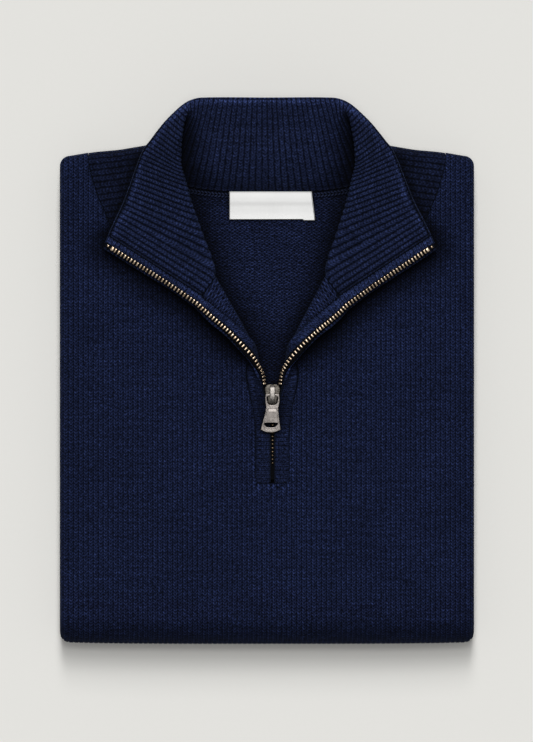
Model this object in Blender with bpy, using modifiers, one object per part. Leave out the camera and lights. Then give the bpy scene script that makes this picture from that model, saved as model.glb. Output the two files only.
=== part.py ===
"""A quarter zip sweater, folded into a flat stack, with its ribbed collar opened out.

Metres, +Z up. The stack lies on Z = 0 with its bottom fold towards -Y, the collar towards +Y and
the garment's right side towards -X. Sizes in the tables are millimetres.

The neck is symmetrical about a slightly slanted axis, so the neck's tables give `out`, the distance
outwards from that axis, and one function places a point on the left (-1) or the right (+1) side.
"""
import math

import bmesh
import bpy
from mathutils import Vector

MM = 0.001

# ---- driving dimensions (mm) ---------------------------------------------------------------------
HALF_WIDTH = 140.0          # half the width of the folded stack
BOTTOM_Y = -184.5           # the bottom fold
STACK = 34.5                # height of the folded stack
WALL = 2.2                  # jersey wall of the front
RIB_WALL = 1.7              # rib knit between its ridges
BAND_WALL = 1.8             # sideways knit beside the zip
SEAM_GAP = 0.3
WING_SEAM_GAP = 1.1         # where the band lies beside the ribbed collar
ROLLED_GAP = 0.8            # beside the band where the lapel rolls over
CROWN = 2.4                 # how far the top falls from its middle to its sides

EDGE_BULGE = 7.0            # outer radius of the side folds
EDGE_TUCK = 6.0             # how far a side fold reaches back inside
SHOULDER_SLOPE = 0.17       # rise of the shoulder line towards the neck
SHOULDER_END_Y = 143.2      # the shoulder line at the outer corner
HEM_Y = 137.0               # the hem, under the stack

ZIP_X = 3.7                 # the zip's line below the slider
AXIS_TOP_Y, AXIS_ZIP_Y = 184.0, -10.0
PLACKET_END_Y = -75.3       # lower end of the zip opening
BAND_WIDTH = 10.0
NARROWING = 1.3
SADDLE_LOW_Y = 95.0         # where the shoulder panels end, under the collar wings

RIB_PITCH = 3.25            # collar ribs along its free edge
RIB_RELIEF = 0.42
RIB_STEEPEST = 0.26         # relief over half a rib's width, where ribs crowd together
SADDLE_RIBS = 11
SADDLE_RELIEF = 0.42

MID = WALL / 2
TOP_MID = STACK - MID
BULGE_MID = EDGE_BULGE - MID
ROLL_Y = BOTTOM_Y + STACK / 2       # axis of the bottom fold
ROLL_MID = STACK / 2 - MID

COLOURS = {                 # base colour, roughness, metallic
    "navy_jersey": ((0.0070, 0.0103, 0.0296), 0.9, 0.0),
    "navy_rib": ((0.0070, 0.0106, 0.0280), 0.9, 0.0),
    "navy_tape": ((0.0040, 0.0060, 0.0170), 0.7, 0.0),
    "label_white": ((0.80, 0.80, 0.78), 0.7, 0.0),
    "zip_gold": ((0.66, 0.56, 0.44), 0.35, 1.0),
    "zip_bronze": ((0.20, 0.15, 0.10), 0.45, 1.0),
    "pull_nickel": ((0.52, 0.50, 0.47), 0.35, 1.0),
}


# ---- scene helpers -------------------------------------------------------------------------------
def clear_scene():
    for item in list(bpy.data.objects):
        bpy.data.objects.remove(item, do_unlink=True)


def new_collection(name):
    found = bpy.data.collections.new(name)
    bpy.context.scene.collection.children.link(found)
    return found


def material(name):
    found = bpy.data.materials.get(name)
    if found:
        return found
    colour, roughness, metallic = COLOURS[name]
    made = bpy.data.materials.new(name)
    made.use_nodes = True
    shader = made.node_tree.nodes["Principled BSDF"]
    shader.inputs["Base Color"].default_value = (*colour, 1.0)
    shader.inputs["Roughness"].default_value = roughness
    shader.inputs["Metallic"].default_value = metallic
    return made


def add_object(name, mesh, look, parent=None, smooth=True):
    made = bpy.data.objects.new(name, mesh)
    PARTS.objects.link(made)
    mesh.materials.append(material(look))
    if smooth:
        mesh.shade_smooth()
    if parent:
        made.parent = parent
    return made


def solidify(made, thickness, offset=0.0):
    shell = made.modifiers.new("wall", "SOLIDIFY")
    shell.thickness = thickness * MM
    shell.offset = offset
    shell.use_even_offset = False
    return made


def sheet_from_grids(name, grids, look, thickness):
    """One open surface from grids of points (mm), given a wall; shared edges are welded."""
    mesh = bpy.data.meshes.new(name)
    shape = bmesh.new()
    for rows in grids:
        verts = [[shape.verts.new(Vector(point) * MM) for point in row] for row in rows]
        for low, high in zip(verts, verts[1:]):
            for k in range(len(low) - 1):
                shape.faces.new((low[k], low[k + 1], high[k + 1], high[k]))
    bmesh.ops.remove_doubles(shape, verts=shape.verts, dist=0.00002)
    bmesh.ops.recalc_face_normals(shape, faces=shape.faces)
    shape.to_mesh(mesh)
    shape.free()
    return solidify(add_object(name, mesh, look, SWEATER), thickness)


def loft_solid(name, loops, look, parent=None, smooth=True):
    """A closed solid through loops of equal length (mm), with flat end caps."""
    mesh = bpy.data.meshes.new(name)
    shape = bmesh.new()
    rings = [[shape.verts.new(Vector(point) * MM) for point in loop] for loop in loops]
    for low, high in zip(rings, rings[1:]):
        for k in range(len(low)):
            following = (k + 1) % len(low)
            shape.faces.new((low[k], low[following], high[following], high[k]))
    shape.faces.new(rings[0])
    shape.faces.new(rings[-1])
    bmesh.ops.recalc_face_normals(shape, faces=shape.faces)
    shape.to_mesh(mesh)
    shape.free()
    return add_object(name, mesh, look, parent or SWEATER, smooth)


# ---- curve helpers -------------------------------------------------------------------------------
def lerp(a, b, t):
    return a + (b - a) * t


def smoothstep(low, high, value):
    t = min(max((value - low) / (high - low), 0.0), 1.0)
    return t * t * (3 - 2 * t)


def read_table(rows, key):
    """The row values at `key`, on a smooth curve through rows of (key, value, value, ...)."""
    last = len(rows) - 1
    key = min(max(key, rows[0][0]), rows[last][0])
    k = next(n for n in range(last) if key <= rows[n + 1][0])
    here, after = rows[k], rows[k + 1]
    span = after[0] - here[0]
    t = (key - here[0]) / span
    result = []
    for column in range(1, len(here)):
        slopes = []
        for n in (k, k + 1):
            before, beyond = rows[max(n - 1, 0)], rows[min(n + 1, last)]
            slopes.append((beyond[column] - before[column]) / (beyond[0] - before[0]))
        a, b = here[column], after[column]
        h = ((2 * t - 3) * t * t + 1, (t - 2) * t * t + t, (3 - 2 * t) * t * t, (t - 1) * t * t)
        result.append(h[0] * a + h[1] * span * slopes[0] + h[2] * b + h[3] * span * slopes[1])
    return Vector(result) if len(result) > 1 else result[0]


def arc_table(points):
    """Points (x, y) as rows keyed by the length run along them."""
    rows, run = [], 0.0
    for k, point in enumerate(points):
        if k:
            run += math.dist(points[k - 1], point)
        rows.append((run, *point))
    return rows


def bezier(a, b, c, t):
    return a * (1 - t) ** 2 + b * 2 * t * (1 - t) + c * t * t


# ---- the stack's own shape -----------------------------------------------------------------------
def axis_x(y):
    """The slanted middle line of the neck and zip."""
    return ZIP_X * min(max((AXIS_TOP_Y - y) / (AXIS_TOP_Y - AXIS_ZIP_Y), 0.0), 1.0)


def place(side, out, y, z):
    return Vector((axis_x(y) + side * out, y, z))


def crown(x, y):
    """How far the top lies under its highest level."""
    across = CROWN * min(abs(x) / HALF_WIDTH, 1.0) ** 4
    along = 0.8 * smoothstep(-110, -165, y)
    return across + along


def top_z(x, y):
    """The middle of the front's wall where it lies flat on the stack."""
    return TOP_MID - crown(x, y)


def rear_y(x):
    """The shoulder line, seen from above."""
    return SHOULDER_END_Y + SHOULDER_SLOPE * (HALF_WIDTH - abs(x))


# ---- tables --------------------------------------------------------------------------------------
# Free edge of the collar, from the centre back to the wing's corner: out, y
COLLAR_EDGE = arc_table([(0, 183.7), (44, 183.7), (51, 182.2), (57, 178.8), (63, 173.6), (69, 167.6),
                         (74, 161.6), (79, 155.1), (84, 148.6), (97, 115.5), (104, 101), (108.3, 91.9)])
HALF_RIBS = COLLAR_EDGE[-1][0] / RIB_PITCH

# Neck seam: rib, out, y, z
NECK_SEAM = [
    (0, 0, 121.3, 31.5), (6, 28, 121.5, 31.5), (12, 55, 124.6, 31.4), (14.3, 66, 128.6, 31.2),
    (16.4, 75, 132.2, 31.0), (17.4, 78.8, 133.4, 31.6), (18.2, 80.2, 132.8, 33.0),
    (19.2, 80.2, 130.2, 34.2), (21.6, 79.2, 122, 34.2), (25.3, 75.5, 109, 34.0),
    (29.4, 71, 96.5, 33.6), (33.6, 64, 83.5, 33.8), (38, 54, 71.8, 34.2), (41.7, 44, 65.6, 36.2),
    (44.9, 37.7, 63.4, 40.6), (47, 40.8, 57.6, 43.6), (49.5, 45.8, 50.9, 42.4),
]
# The collar's fold, where it turns outwards: rib, out, y, z
COLLAR_ROLL = [
    (0, 0, 165, 51.0), (12, 43, 167, 52.6), (15, 49.4, 172, 54.0), (17, 52.4, 175, 54.4),
    (18, 54.2, 174.4, 54.8), (20, 56.8, 168.0, 54.2), (22, 58, 161.2, 53.0), (24, 59, 154.5, 52.0),
    (26, 59.4, 147.7, 51.0), (28, 59.6, 141, 50.0), (30, 58.8, 136, 49.2), (32, 57.4, 131, 48.2),
    (34, 55.9, 125, 47.2), (36, 54, 117.8, 46.2), (38, 51.8, 109.9, 45.2), (40, 48.7, 100.8, 44.2),
    (42, 44.6, 89, 43.2), (44, 39.8, 76, 42.6), (44.9, 38.4, 68, 42.8), (47, 43.6, 61, 44.2),
    (49.5, 52, 55, 42.6),
]
# How high the standing part bows between seam and fold, as a share of that rise: rib, share
COLLAR_BOW = [(0, 0.5), (12, 0.45), (15.5, 0.26), (17, 0.3), (18.5, 0.6), (20, 0.8), (24, 0.75),
              (30, 0.55), (36, 0.35), (42, 0.15), (49.5, 0.12)]
# Height of the collar's free edge: rib, z
COLLAR_EDGE_Z = [(0, 57), (12, 57), (15, 56.6), (17, 55.6), (20, 53), (24, 48.6), (28, 44.6), (32, 41.8),
                 (36, 40.4), (40, 39.6), (44, 39.2), (49.5, 38.8)]

# The zip edge of the front, row by row up the opening. `edge` is the band's free edge, `roll` the
# innermost line of the turned-out lapel, `flat` where the front meets the stack again.
# row, edge out, edge y, edge z, roll out, roll y, roll z, flat out, flat y
LAPEL = [
    (0, 1.4, -75.3, 33.7, 8.0, -75.3, 33.6, 21.0, -75.3),
    (1, 1.4, -58.0, 33.8, 8.0, -58.0, 33.6, 21.0, -58.0),
    (2, 1.4, -42.0, 33.9, 8.0, -42.0, 33.6, 21.0, -42.0),
    (3, 2.8, -27.0, 34.2, 8.8, -27.0, 33.7, 21.5, -27.0),
    (4, 6.2, -12.5, 35.6, 10.4, -12.0, 34.2, 23.5, -11.0),
    (5, 9.2, -3.5, 37.8, 11.0, -1.5, 35.2, 25.5, -1.0),
    (6, 13.9, 5.0, 40.4, 11.2, 8.0, 36.8, 28.0, 8.5),
    (7, 21.0, 14.1, 42.0, 13.6, 18.2, 38.4, 31.0, 19.0),
    (8, 30.7, 25.0, 42.2, 19.2, 30.0, 39.6, 36.0, 32.0),
    (9, 40.6, 33.3, 41.6, 27.6, 45.4, 40.2, 43.0, 48.5),
    (10, 51.3, 42.8, 40.8, 37.4, 63.4, 40.6, 54.0, 71.8),
]
SEAM_ROW = LAPEL[-1][0]
# The band's free edge on beside the collar wing: share of the way, out, y, z
WING_EDGE = [(0, 51.3, 42.8, 40.8), (0.25, 65.6, 53.1, 39.6), (0.5, 80.5, 62.6, 38.8),
             (0.75, 96.0, 72.4, 38.4), (1, 112.4, 83.2, 38.0)]
# Where the teeth run on the band: key, share of its width. Keys 10 to 11 are beside the wing.
TEETH_SHARE = [(4, 0.0), (5, 0.08), (6, 0.25), (7, 0.25), (8, 0.33), (9, 0.42), (10, 0.38),
               (10.5, 0.43), (11, 0.4)]
# Outer edge of the shoulder panel: y, distance from the middle of the stack
SADDLE_EDGE = [(92, 104.0), (97.3, 105.6), (101.4, 106.9), (109.4, 110.0), (117.5, 113.6),
               (127.2, 116.8), (137.1, 119.4), (148, 120.4)]


# ---- collar --------------------------------------------------------------------------------------
def collar_point(rib, travel):
    """A point of the collar's middle surface; travel runs 0 to 1 to the fold and 1 to 2 to the edge."""
    seam = read_table(NECK_SEAM, rib)
    roll = read_table(COLLAR_ROLL, rib)
    edge_out, edge_y = read_table(COLLAR_EDGE, rib * RIB_PITCH)
    edge = Vector((edge_out, edge_y, read_table(COLLAR_EDGE_Z, rib)))
    fold = smoothstep(15.5, 19.5, rib) * (1 - smoothstep(41, 45.5, rib))
    petal = Vector((0, -7, 6)) * (1 - smoothstep(8, 15, rib))
    below = ((seam + roll) / 2).lerp(roll, fold)
    below.z = lerp(seam.z, roll.z, read_table(COLLAR_BOW, rib))
    below += petal
    turned = (edge - roll).length
    rise = Vector((0, 0, min(FOLD_RISE, turned * FOLD_STEEPEST)))
    above = ((roll + edge) / 2 + Vector((0, 0, 1.2))).lerp(roll + rise, fold)
    if travel <= 1:
        return bezier(seam, below, roll, travel)
    return bezier(roll, above, edge, travel - 1)


FOLD_RISE = 6.5             # how high the collar's fold stands over its inner line
FOLD_STEEPEST = 0.45        # the same as a share of the turned part's width, where that is short
COLLAR_ROWS = (0.5, 0.82, 1.0, 1.18, 1.4, 1.7, 2.0)
SEAM_SETBACK = 1.3          # from the seam line to the collar's wall, which turns up there


def collar_column(rib):
    """The collar's middle surface along one rib, from just off the seam to the free edge."""
    lean = (collar_point(rib, 0.05) - collar_point(rib, 0.0)).length / 0.05
    travels = (SEAM_SETBACK / lean,) + COLLAR_ROWS
    return [collar_point(rib, travel) for travel in travels]


def make_collar():
    """Ribs run from the neck seam to the free edge; ridge and valley alternate on both faces."""
    steps = int(HALF_RIBS * 2)
    columns = []
    for step in range(-steps, steps + 1):
        side = -1 if step < 0 else 1
        rib = abs(step) / 2 * HALF_RIBS / (steps / 2)
        columns.append([place(side, *point) for point in collar_column(rib)])
    ridged = []
    for k, column in enumerate(columns):
        near, far = columns[max(k - 1, 0)], columns[min(k + 1, len(columns) - 1)]
        line = []
        for j, point in enumerate(column):
            up = (column[min(j + 1, len(column) - 1)] - column[max(j - 1, 0)]).normalized()
            sideways = (far[j] - near[j]).cross(up)
            normal = sideways.normalized()
            pitch = sideways.length / 2
            rise = min(RIB_RELIEF, pitch * RIB_STEEPEST) * (1 if k % 2 else -1)
            line.append(point + normal * rise)
        ridged.append(line)
    return sheet_from_grids("collar", [ridged], "navy_rib", RIB_WALL)


# ---- the zip edge --------------------------------------------------------------------------------
def lapel_section(row, travel):
    """The front's section at a row: 0 on the flat, 1 at the roll, 2 at the band's free edge."""
    values = read_table(LAPEL, row)
    edge, roll = Vector(values[0:3]), Vector(values[3:6])
    flat = Vector((values[6], values[7], top_z(values[6], values[7])))
    turned = smoothstep(4.5, 7.0, row)
    low = (flat + roll) / 2
    low.z = flat.z
    below = low.lerp(Vector((roll.x, roll.y, flat.z + 0.4)), turned)
    above = ((roll + edge) / 2).lerp(roll + Vector((0, 0, 4.4)), turned)
    if travel <= 1:
        return bezier(flat, below, roll, travel)
    return bezier(roll, above, edge, travel - 1)


def band_travel(row, width):
    """Where along the section a point lies `width` mm in from the band's free edge."""
    step, travel, run = 0.02, 2.0, 0.0
    last = lapel_section(row, travel)
    while run < width and travel > step:
        travel -= step
        point = lapel_section(row, travel)
        run += (point - last).length
        last = point
    return travel


def wing_seam(along):
    """The collar's last rib, beside the zip: along is the share of its length."""
    samples = [collar_point(HALF_RIBS, travel / 12) for travel in range(25)]
    lengths = [0.0]
    for low, high in zip(samples, samples[1:]):
        lengths.append(lengths[-1] + (high - low).length)
    wanted = along * lengths[-1]
    k = next(n for n in range(24) if wanted <= lengths[n + 1] + 1e-9)
    return samples[k].lerp(samples[k + 1], (wanted - lengths[k]) / (lengths[k + 1] - lengths[k]))


def band_width(row):
    """The band narrows a little where the lapel, the wing and the band meet."""
    return BAND_WIDTH - NARROWING * smoothstep(8, SEAM_ROW, row)


def band_point(key, share):
    """The band's middle surface; share 0 is its free edge and 1 its seam with front or collar.

    Keys up to SEAM_ROW are rows of the lapel, and the next whole number is the wing's corner."""
    if key < SEAM_ROW:
        return lapel_section(key, lerp(2.0, band_travel(key, band_width(key)), share))
    along = key - SEAM_ROW
    edge = read_table(WING_EDGE, along)
    seam = wing_seam(along)
    seam = seam + (edge - seam).normalized() * WING_SEAM_GAP
    return edge.lerp(seam, share)


def band_inside(key, share):
    """The direction that the band's inner side faces: down below the slider, up on the wings."""
    key = min(max(key, 0.02), SEAM_ROW + 0.98)
    along = band_point(key + 0.02, share) - band_point(key - 0.02, share)
    across = band_point(key, min(share + 0.05, 1)) - band_point(key, max(share - 0.05, 0))
    return along.cross(across).normalized()


LAPEL_ROWS = (0, 1, 2, 3, 3.5, 4, 4.5, 5, 5.3, 5.6, 5.9, 6.2, 6.6, 7, 7.5, 8, 8.5, 9, 9.5, 10)
BAND_KEYS = LAPEL_ROWS + (10.25, 10.5, 10.75, 11)
TAPE_KEYS = tuple(key for key in BAND_KEYS if key > 4)
BAND_SHARES = (0, 0.3, 0.6, 0.84, 1)
TAPE_LIFT = 1.6             # from the band's middle to the tape's
EXTRA_LIFT = 0.3            # added where the band twists over
TAPE_WALL = 0.8
TEETH_WIDTH, TEETH_HEIGHT = 3.0, 1.8


def make_band(side, name):
    rows = [[place(side, *band_point(key, share)) for share in BAND_SHARES] for key in BAND_KEYS]
    return sheet_from_grids(name, [rows], "navy_rib", BAND_WALL)


def tape_section(key):
    """The zip tape from under the teeth to the band's seam, on the band's inner side."""
    start = read_table(TEETH_SHARE, key)
    shares = [lerp(start, 0.9, k / 3) for k in range(4)]
    lift = TAPE_LIFT + EXTRA_LIFT * smoothstep(4, 5.3, key) * (1 - smoothstep(6.4, 7.5, key))
    return [band_point(key, share) + band_inside(key, share) * lift for share in shares]


def make_tape(side, name):
    rows = [[place(side, *point) for point in tape_section(key)] for key in TAPE_KEYS]
    return sheet_from_grids(name, [rows], "navy_tape", TAPE_WALL)


def make_teeth(side, name):
    """The row of teeth as one plain bar that follows the tape's edge."""
    loops = []
    for key in TAPE_KEYS:
        root, inner = tape_section(key)[:2]
        across = (inner - root).normalized()
        up = band_inside(key, read_table(TEETH_SHARE, key))
        across = (across - up * across.dot(up)).normalized()
        middle = root + up * (TAPE_WALL / 2 + SEAM_GAP + TEETH_HEIGHT / 2)
        loops.append([place(side, *(middle + across * a * TEETH_WIDTH / 2 + up * b * TEETH_HEIGHT / 2))
                      for a, b in ((-1, -1), (1, -1), (1, 1), (-1, 1))])
    return loft_solid(name, loops, "zip_gold", smooth=False)


# ---- front ---------------------------------------------------------------------------------------
BULGE_ANGLES = (0, 45, 90, 135, 180)
OUTER_STEPS, INNER_STEPS = 2, 4     # columns from the side fold to the shoulder panel, and on inwards
FOLD_SHARES = (0, 0.22, 0.43, 0.62, 0.78, 0.91, 1)      # columns over the lapel's roll
FOLD_STEPS = len(FOLD_SHARES) - 1
CENTRE_STEPS = 2                    # columns over the middle, below the zip
FLAT_COLUMN_X = 104.0
ROLL_TURNS = 6
LAPEL_RIB = 38                      # the lapel's last row runs along the neck seam from here
NECK_RIBS = (35.8, 33.6, 31.4)      # where rows of the chest meet the neck seam
SHOULDER_STEPS = INNER_STEPS
SHOULDER_INNER = 80.6       # the panel's inner edge behind the neck point
SHOULDER_PLAIN = 1.2        # between the last rib and the fold over the shoulder
SHOULDER_TILT_LOW = 8.5     # how much higher the ribs are beside the neck
SHOULDER_TILT_TOP = 4.9
SHOULDER_SAG = 1.4
SHOULDER_LOW_GAP = 0.6
SIDE_BASE_X = HALF_WIDTH - EDGE_BULGE


def body_path():
    """The front's path from the hem, under the stack and round the bottom fold to the top.

    Rows of (y, z of the wall's middle, inward direction, share of the crown)."""
    rows = [(y, MID, Vector((0, 0, 1)), 0.0) for y in (HEM_Y, 60, -60, ROLL_Y)]
    for k in range(1, ROLL_TURNS):
        turn = math.pi * k / ROLL_TURNS
        inward = Vector((0, math.sin(turn), math.cos(turn)))
        rows.append((ROLL_Y - ROLL_MID * inward.y, STACK / 2 - ROLL_MID * inward.z, inward,
                     k / ROLL_TURNS))
    for y in (ROLL_Y, -138, -106, PLACKET_END_Y - SEAM_GAP):
        rows.append((y, TOP_MID, Vector((0, 0, -1)), 1.0))
    return rows


def body_row(side, path_row):
    y, z, inward, crowned = path_row
    band_x = LAPEL[0][1] + BAND_WIDTH + SEAM_GAP
    flat_x = LAPEL[0][7]
    outs = [lerp(SIDE_BASE_X, FLAT_COLUMN_X, k / OUTER_STEPS) for k in range(OUTER_STEPS)]
    outs += [lerp(FLAT_COLUMN_X, flat_x, k / INNER_STEPS) for k in range(INNER_STEPS)]
    outs += [lerp(flat_x, band_x, k / FOLD_STEPS) for k in range(FOLD_STEPS)]
    outs += [lerp(band_x, 0, k / CENTRE_STEPS) for k in range(CENTRE_STEPS + 1)]
    points = []
    for out in outs:
        x = side * out + axis_x(y) * (1 - out / SIDE_BASE_X)
        points.append(Vector((x, y, z)) + inward * crown(x, y) * crowned)
    return points


def lapel_row(side, row):
    """From the side's base, over the flat and the roll, to the band's seam."""
    flat = lapel_section(row, 0)
    points = [Vector((side * x, flat.y, top_z(x, flat.y)))
              for x in (lerp(SIDE_BASE_X, FLAT_COLUMN_X, k / OUTER_STEPS) for k in range(OUTER_STEPS))]
    shoulder = Vector((side * FLAT_COLUMN_X, flat.y, 0))
    inner = place(side, *flat)
    for k in range(INNER_STEPS):
        point = shoulder.lerp(inner, k / INNER_STEPS)
        points.append(Vector((point.x, point.y, top_z(point.x, point.y))))
    end = band_travel(row, band_width(row) + lerp(SEAM_GAP, ROLLED_GAP, smoothstep(3, 5, row)))
    fold = [lapel_section(row, end * share) for share in FOLD_SHARES]
    if row == SEAM_ROW:
        ribs = [lerp(LAPEL_RIB, HALF_RIBS, share) for share in FOLD_SHARES[:-1]]
        fold[:-1] = [read_table(NECK_SEAM, rib) for rib in ribs]
    return points + [place(side, *point) for point in fold]


def saddle_edge(y):
    return read_table(SADDLE_EDGE, y)


def shoulder_line(side, along, share):
    """A rib's line across the shoulder panel, from its outer edge (share 0) to the neck (1)."""
    top = rear_y(SADDLE_EDGE[-1][1]) - EDGE_BULGE - SHOULDER_PLAIN
    low_y = lerp(SADDLE_LOW_Y, top, along)
    inner_y = low_y + lerp(SHOULDER_TILT_LOW, SHOULDER_TILT_TOP, along)
    inner_out = neck_out(inner_y) if inner_y < 133 else SHOULDER_INNER
    outer = Vector((side * saddle_edge(low_y), low_y, 0))
    point = outer.lerp(place(side, inner_out + 0.6, inner_y, 0), share)
    point.y -= SHOULDER_SAG * math.sin(math.pi * share) * (1 - along)
    return point


def chest_row(side, rib):
    """A row of the chest that ends at the neck seam."""
    seam = place(side, *read_table(NECK_SEAM, rib))
    y = seam.y
    edge_x = lerp(FLAT_COLUMN_X, saddle_edge(SADDLE_LOW_Y), 0.3)
    points = []
    for k in range(OUTER_STEPS):
        x = side * lerp(SIDE_BASE_X, edge_x, k / OUTER_STEPS)
        points.append(Vector((x, y, top_z(x, y))))
    shoulder = Vector((side * edge_x, y, top_z(edge_x, y)))
    for k in range(INNER_STEPS):
        point = shoulder.lerp(seam, k / INNER_STEPS)
        point.z = lerp(top_z(point.x, point.y), seam.z, (k / INNER_STEPS) ** 3)
        points.append(point)
    return points + [seam]


def under_shoulder_row(side):
    """The chest's last row, along the lower edge of the shoulder panel."""
    line = [shoulder_line(side, 0, k / INNER_STEPS) for k in range(INNER_STEPS + 1)]
    line[0].x += side * SEAM_GAP
    outer = [Vector((lerp(side * SIDE_BASE_X, line[0].x, k / OUTER_STEPS), line[0].y, 0))
             for k in range(OUTER_STEPS)]
    points = []
    for point in outer + line:
        y = point.y - SHOULDER_LOW_GAP
        points.append(Vector((point.x, y, top_z(point.x, y))))
    return points


def arm_row(side, y):
    """A row beside the shoulder panel, from the side's base to the panel's edge."""
    edge_x = saddle_edge(y) + SEAM_GAP
    xs = [side * lerp(SIDE_BASE_X, edge_x, k / OUTER_STEPS) for k in range(OUTER_STEPS + 1)]
    return [Vector((x, y, top_z(x, y))) for x in xs]


def rear_base(side, x):
    """Where the top turns down into the rear fold."""
    y = rear_y(x) - EDGE_BULGE
    return Vector((side * x, y, top_z(x, y)))


def fold_strip(base, outward, inward, tuck):
    """Points of a fold round an edge: a half circle and a tuck back inside."""
    points = []
    for angle in BULGE_ANGLES:
        turn = math.radians(angle)
        reach, drop = BULGE_MID * math.sin(turn), BULGE_MID * (1 - math.cos(turn))
        points.append(base + outward * reach + inward * drop)
    points.append(points[-1] + tuck)
    return points


def make_front():
    """One wall: top, bottom fold, underside and hem, with both side folds and the turned-out lapels."""
    grids = []
    for side in (-1, 1):
        out = Vector((side, 0, 0))
        tuck = -out * EDGE_TUCK
        path = body_path()
        lower = [body_row(side, row) for row in path]
        inwards = [row[2] for row in path]
        upper = [lapel_row(side, row) for row in LAPEL_ROWS]
        columns = len(upper[0])
        chest = [upper[-1][:OUTER_STEPS + INNER_STEPS + 1]]
        chest += [chest_row(side, rib) for rib in NECK_RIBS] + [under_shoulder_row(side)]
        arm_ys = (SADDLE_LOW_Y + 11, SADDLE_LOW_Y + 23, rear_y(SIDE_BASE_X) - EDGE_BULGE - EDGE_TUCK)
        arm = [chest[-1][:OUTER_STEPS + 1]] + [arm_row(side, y) for y in arm_ys]
        rear_xs = [lerp(SIDE_BASE_X, saddle_edge(rear_y(0)) + SEAM_GAP, k / OUTER_STEPS)
                   for k in range(OUTER_STEPS + 1)]
        arm.append([rear_base(side, x) for x in rear_xs])
        grids += [lower, [lower[-1][:columns], upper[0]], upper, chest, arm]
        strip = [fold_strip(row[0], out, inward, tuck) for row, inward in zip(lower, inwards)]
        down = Vector((0, 0, -1))
        strip += [fold_strip(row[0], out, down, tuck) for row in upper + chest[1:] + arm[1:-1]]
        corner = arm[-1][0]
        for angle in (0, 30, 60, 90):
            turn = math.radians(angle)
            aim = Vector((side * math.cos(turn), math.sin(turn), 0))
            strip.append(fold_strip(corner, aim, down, Vector((-side, -1, 0)) * EDGE_TUCK))
        for base in arm[-1][1:]:
            strip.append(fold_strip(base, Vector((0, 1, 0)), down, Vector((0, -EDGE_TUCK, 0))))
        grids.append(strip)
    return sheet_from_grids("front", grids, "navy_jersey", WALL)


# ---- shoulders, back, neck -----------------------------------------------------------------------
def neck_out(y):
    """The front neck seam's distance from the axis, at a height on the chest."""
    ribs = [29.4 + (18.6 - 29.4) * k / 40 for k in range(41)]
    nearest = min(ribs, key=lambda rib: abs(read_table(NECK_SEAM, rib)[1] - y))
    return read_table(NECK_SEAM, nearest)[0]


def make_shoulder(side, name):
    """Ribs run across the shoulder; the plain end folds over the shoulder line."""
    rows = []
    count = SADDLE_RIBS * 2
    for k in range(count + 1):
        rise = (SADDLE_RELIEF if k % 2 else -SADDLE_RELIEF) * (0.6 if k in (0, count) else 1)
        row = [shoulder_line(side, k / count, n / SHOULDER_STEPS) for n in range(SHOULDER_STEPS + 1)]
        for point in row:
            point.z = top_z(point.x, point.y) + rise
        rows.append(row)
    base = []
    for n in range(SHOULDER_STEPS + 1):
        x = lerp(saddle_edge(rear_y(0)), SHOULDER_INNER, n / SHOULDER_STEPS)
        base.append(rear_base(side, x))
    down, rear = Vector((0, 0, -1)), Vector((0, 1, 0))
    folds = [fold_strip(point, rear, down, Vector((0, -EDGE_TUCK, 0))) for point in base]
    wrap = [list(ring) for ring in zip(*folds)]
    return sheet_from_grids(name, [rows, [rows[-1]] + wrap], "navy_rib", RIB_WALL)


FLOOR_DROP = WALL + 0.35    # from the middle of the front's wall to the back's
FLOOR_LOW_Y = -13.0


def floor_z(x, y):
    return top_z(x, y) - FLOOR_DROP


def make_back():
    """The back panel's inner face, seen in the neck opening."""
    ribs = (-17.6, -15, -12, -9, -6, -3, 0, 3, 6, 9, 12, 15, 17.6)
    columns = []
    for rib in ribs:
        side = -1 if rib < 0 else 1
        out, y, z = read_table(NECK_SEAM, abs(rib))
        top = place(side, out, y, floor_z(out, y))
        column = []
        for share in (0, 0.35, 0.7, 1):
            y_here = lerp(FLOOR_LOW_Y, top.y, share)
            x_here = axis_x(y_here) + side * out * lerp(0.72, 1.0, share)
            column.append(Vector((x_here, y_here, floor_z(x_here, y_here))))
        columns.append(column)
    return sheet_from_grids("back", [columns], "navy_jersey", WALL)


CHAIN_WIDTH, CHAIN_HEIGHT = 5.2, 1.1


def make_neck_seam():
    """The linked seam inside the back neck, a flat cord of loops."""
    loops = []
    top = WALL / 2 + SEAM_GAP
    for k in range(-12, 13):
        rib = 12.3 * abs(k) / 12
        side = -1 if k < 0 else 1
        out, y, _ = read_table(NECK_SEAM, rib)
        loop = []
        for across, up in ((0, 0), (0, 1), (0.25, 1.35), (0.75, 1.35), (1, 1), (1, 0)):
            point = place(side, out, y - 0.4 - CHAIN_WIDTH * across, 0)
            point.z = floor_z(point.x, point.y) + top + CHAIN_HEIGHT * up / 1.35
            loop.append(point)
        loops.append(loop)
    return loft_solid("neck_seam", loops, "navy_rib")


LABEL_LEFT, LABEL_RIGHT, LABEL_TOP_Y, LABEL_LOW_Y = -24.7, 32.1, 120.7, 101.7
LABEL_WALL = 0.6


def make_label():
    """A blank woven label: its top lies over the seam, its foot on the back panel."""
    rest = WALL / 2 + SEAM_GAP + LABEL_WALL / 2
    over_seam = rest + CHAIN_HEIGHT + SEAM_GAP
    rows = []
    for y, rise in ((LABEL_LOW_Y, rest + 0.3), (106, rest), (111.5, lerp(rest, over_seam, 0.35)),
                    (115.5, over_seam + 0.1), (LABEL_TOP_Y, over_seam + 0.1)):
        xs = [lerp(LABEL_LEFT, LABEL_RIGHT + (1.6 if y < 104 else 0), k / 6) for k in range(7)]
        rows.append([Vector((x, y, floor_z(x, y) + rise)) for x in xs])
    return sheet_from_grids("neck_label", [rows], "label_white", LABEL_WALL)


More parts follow.
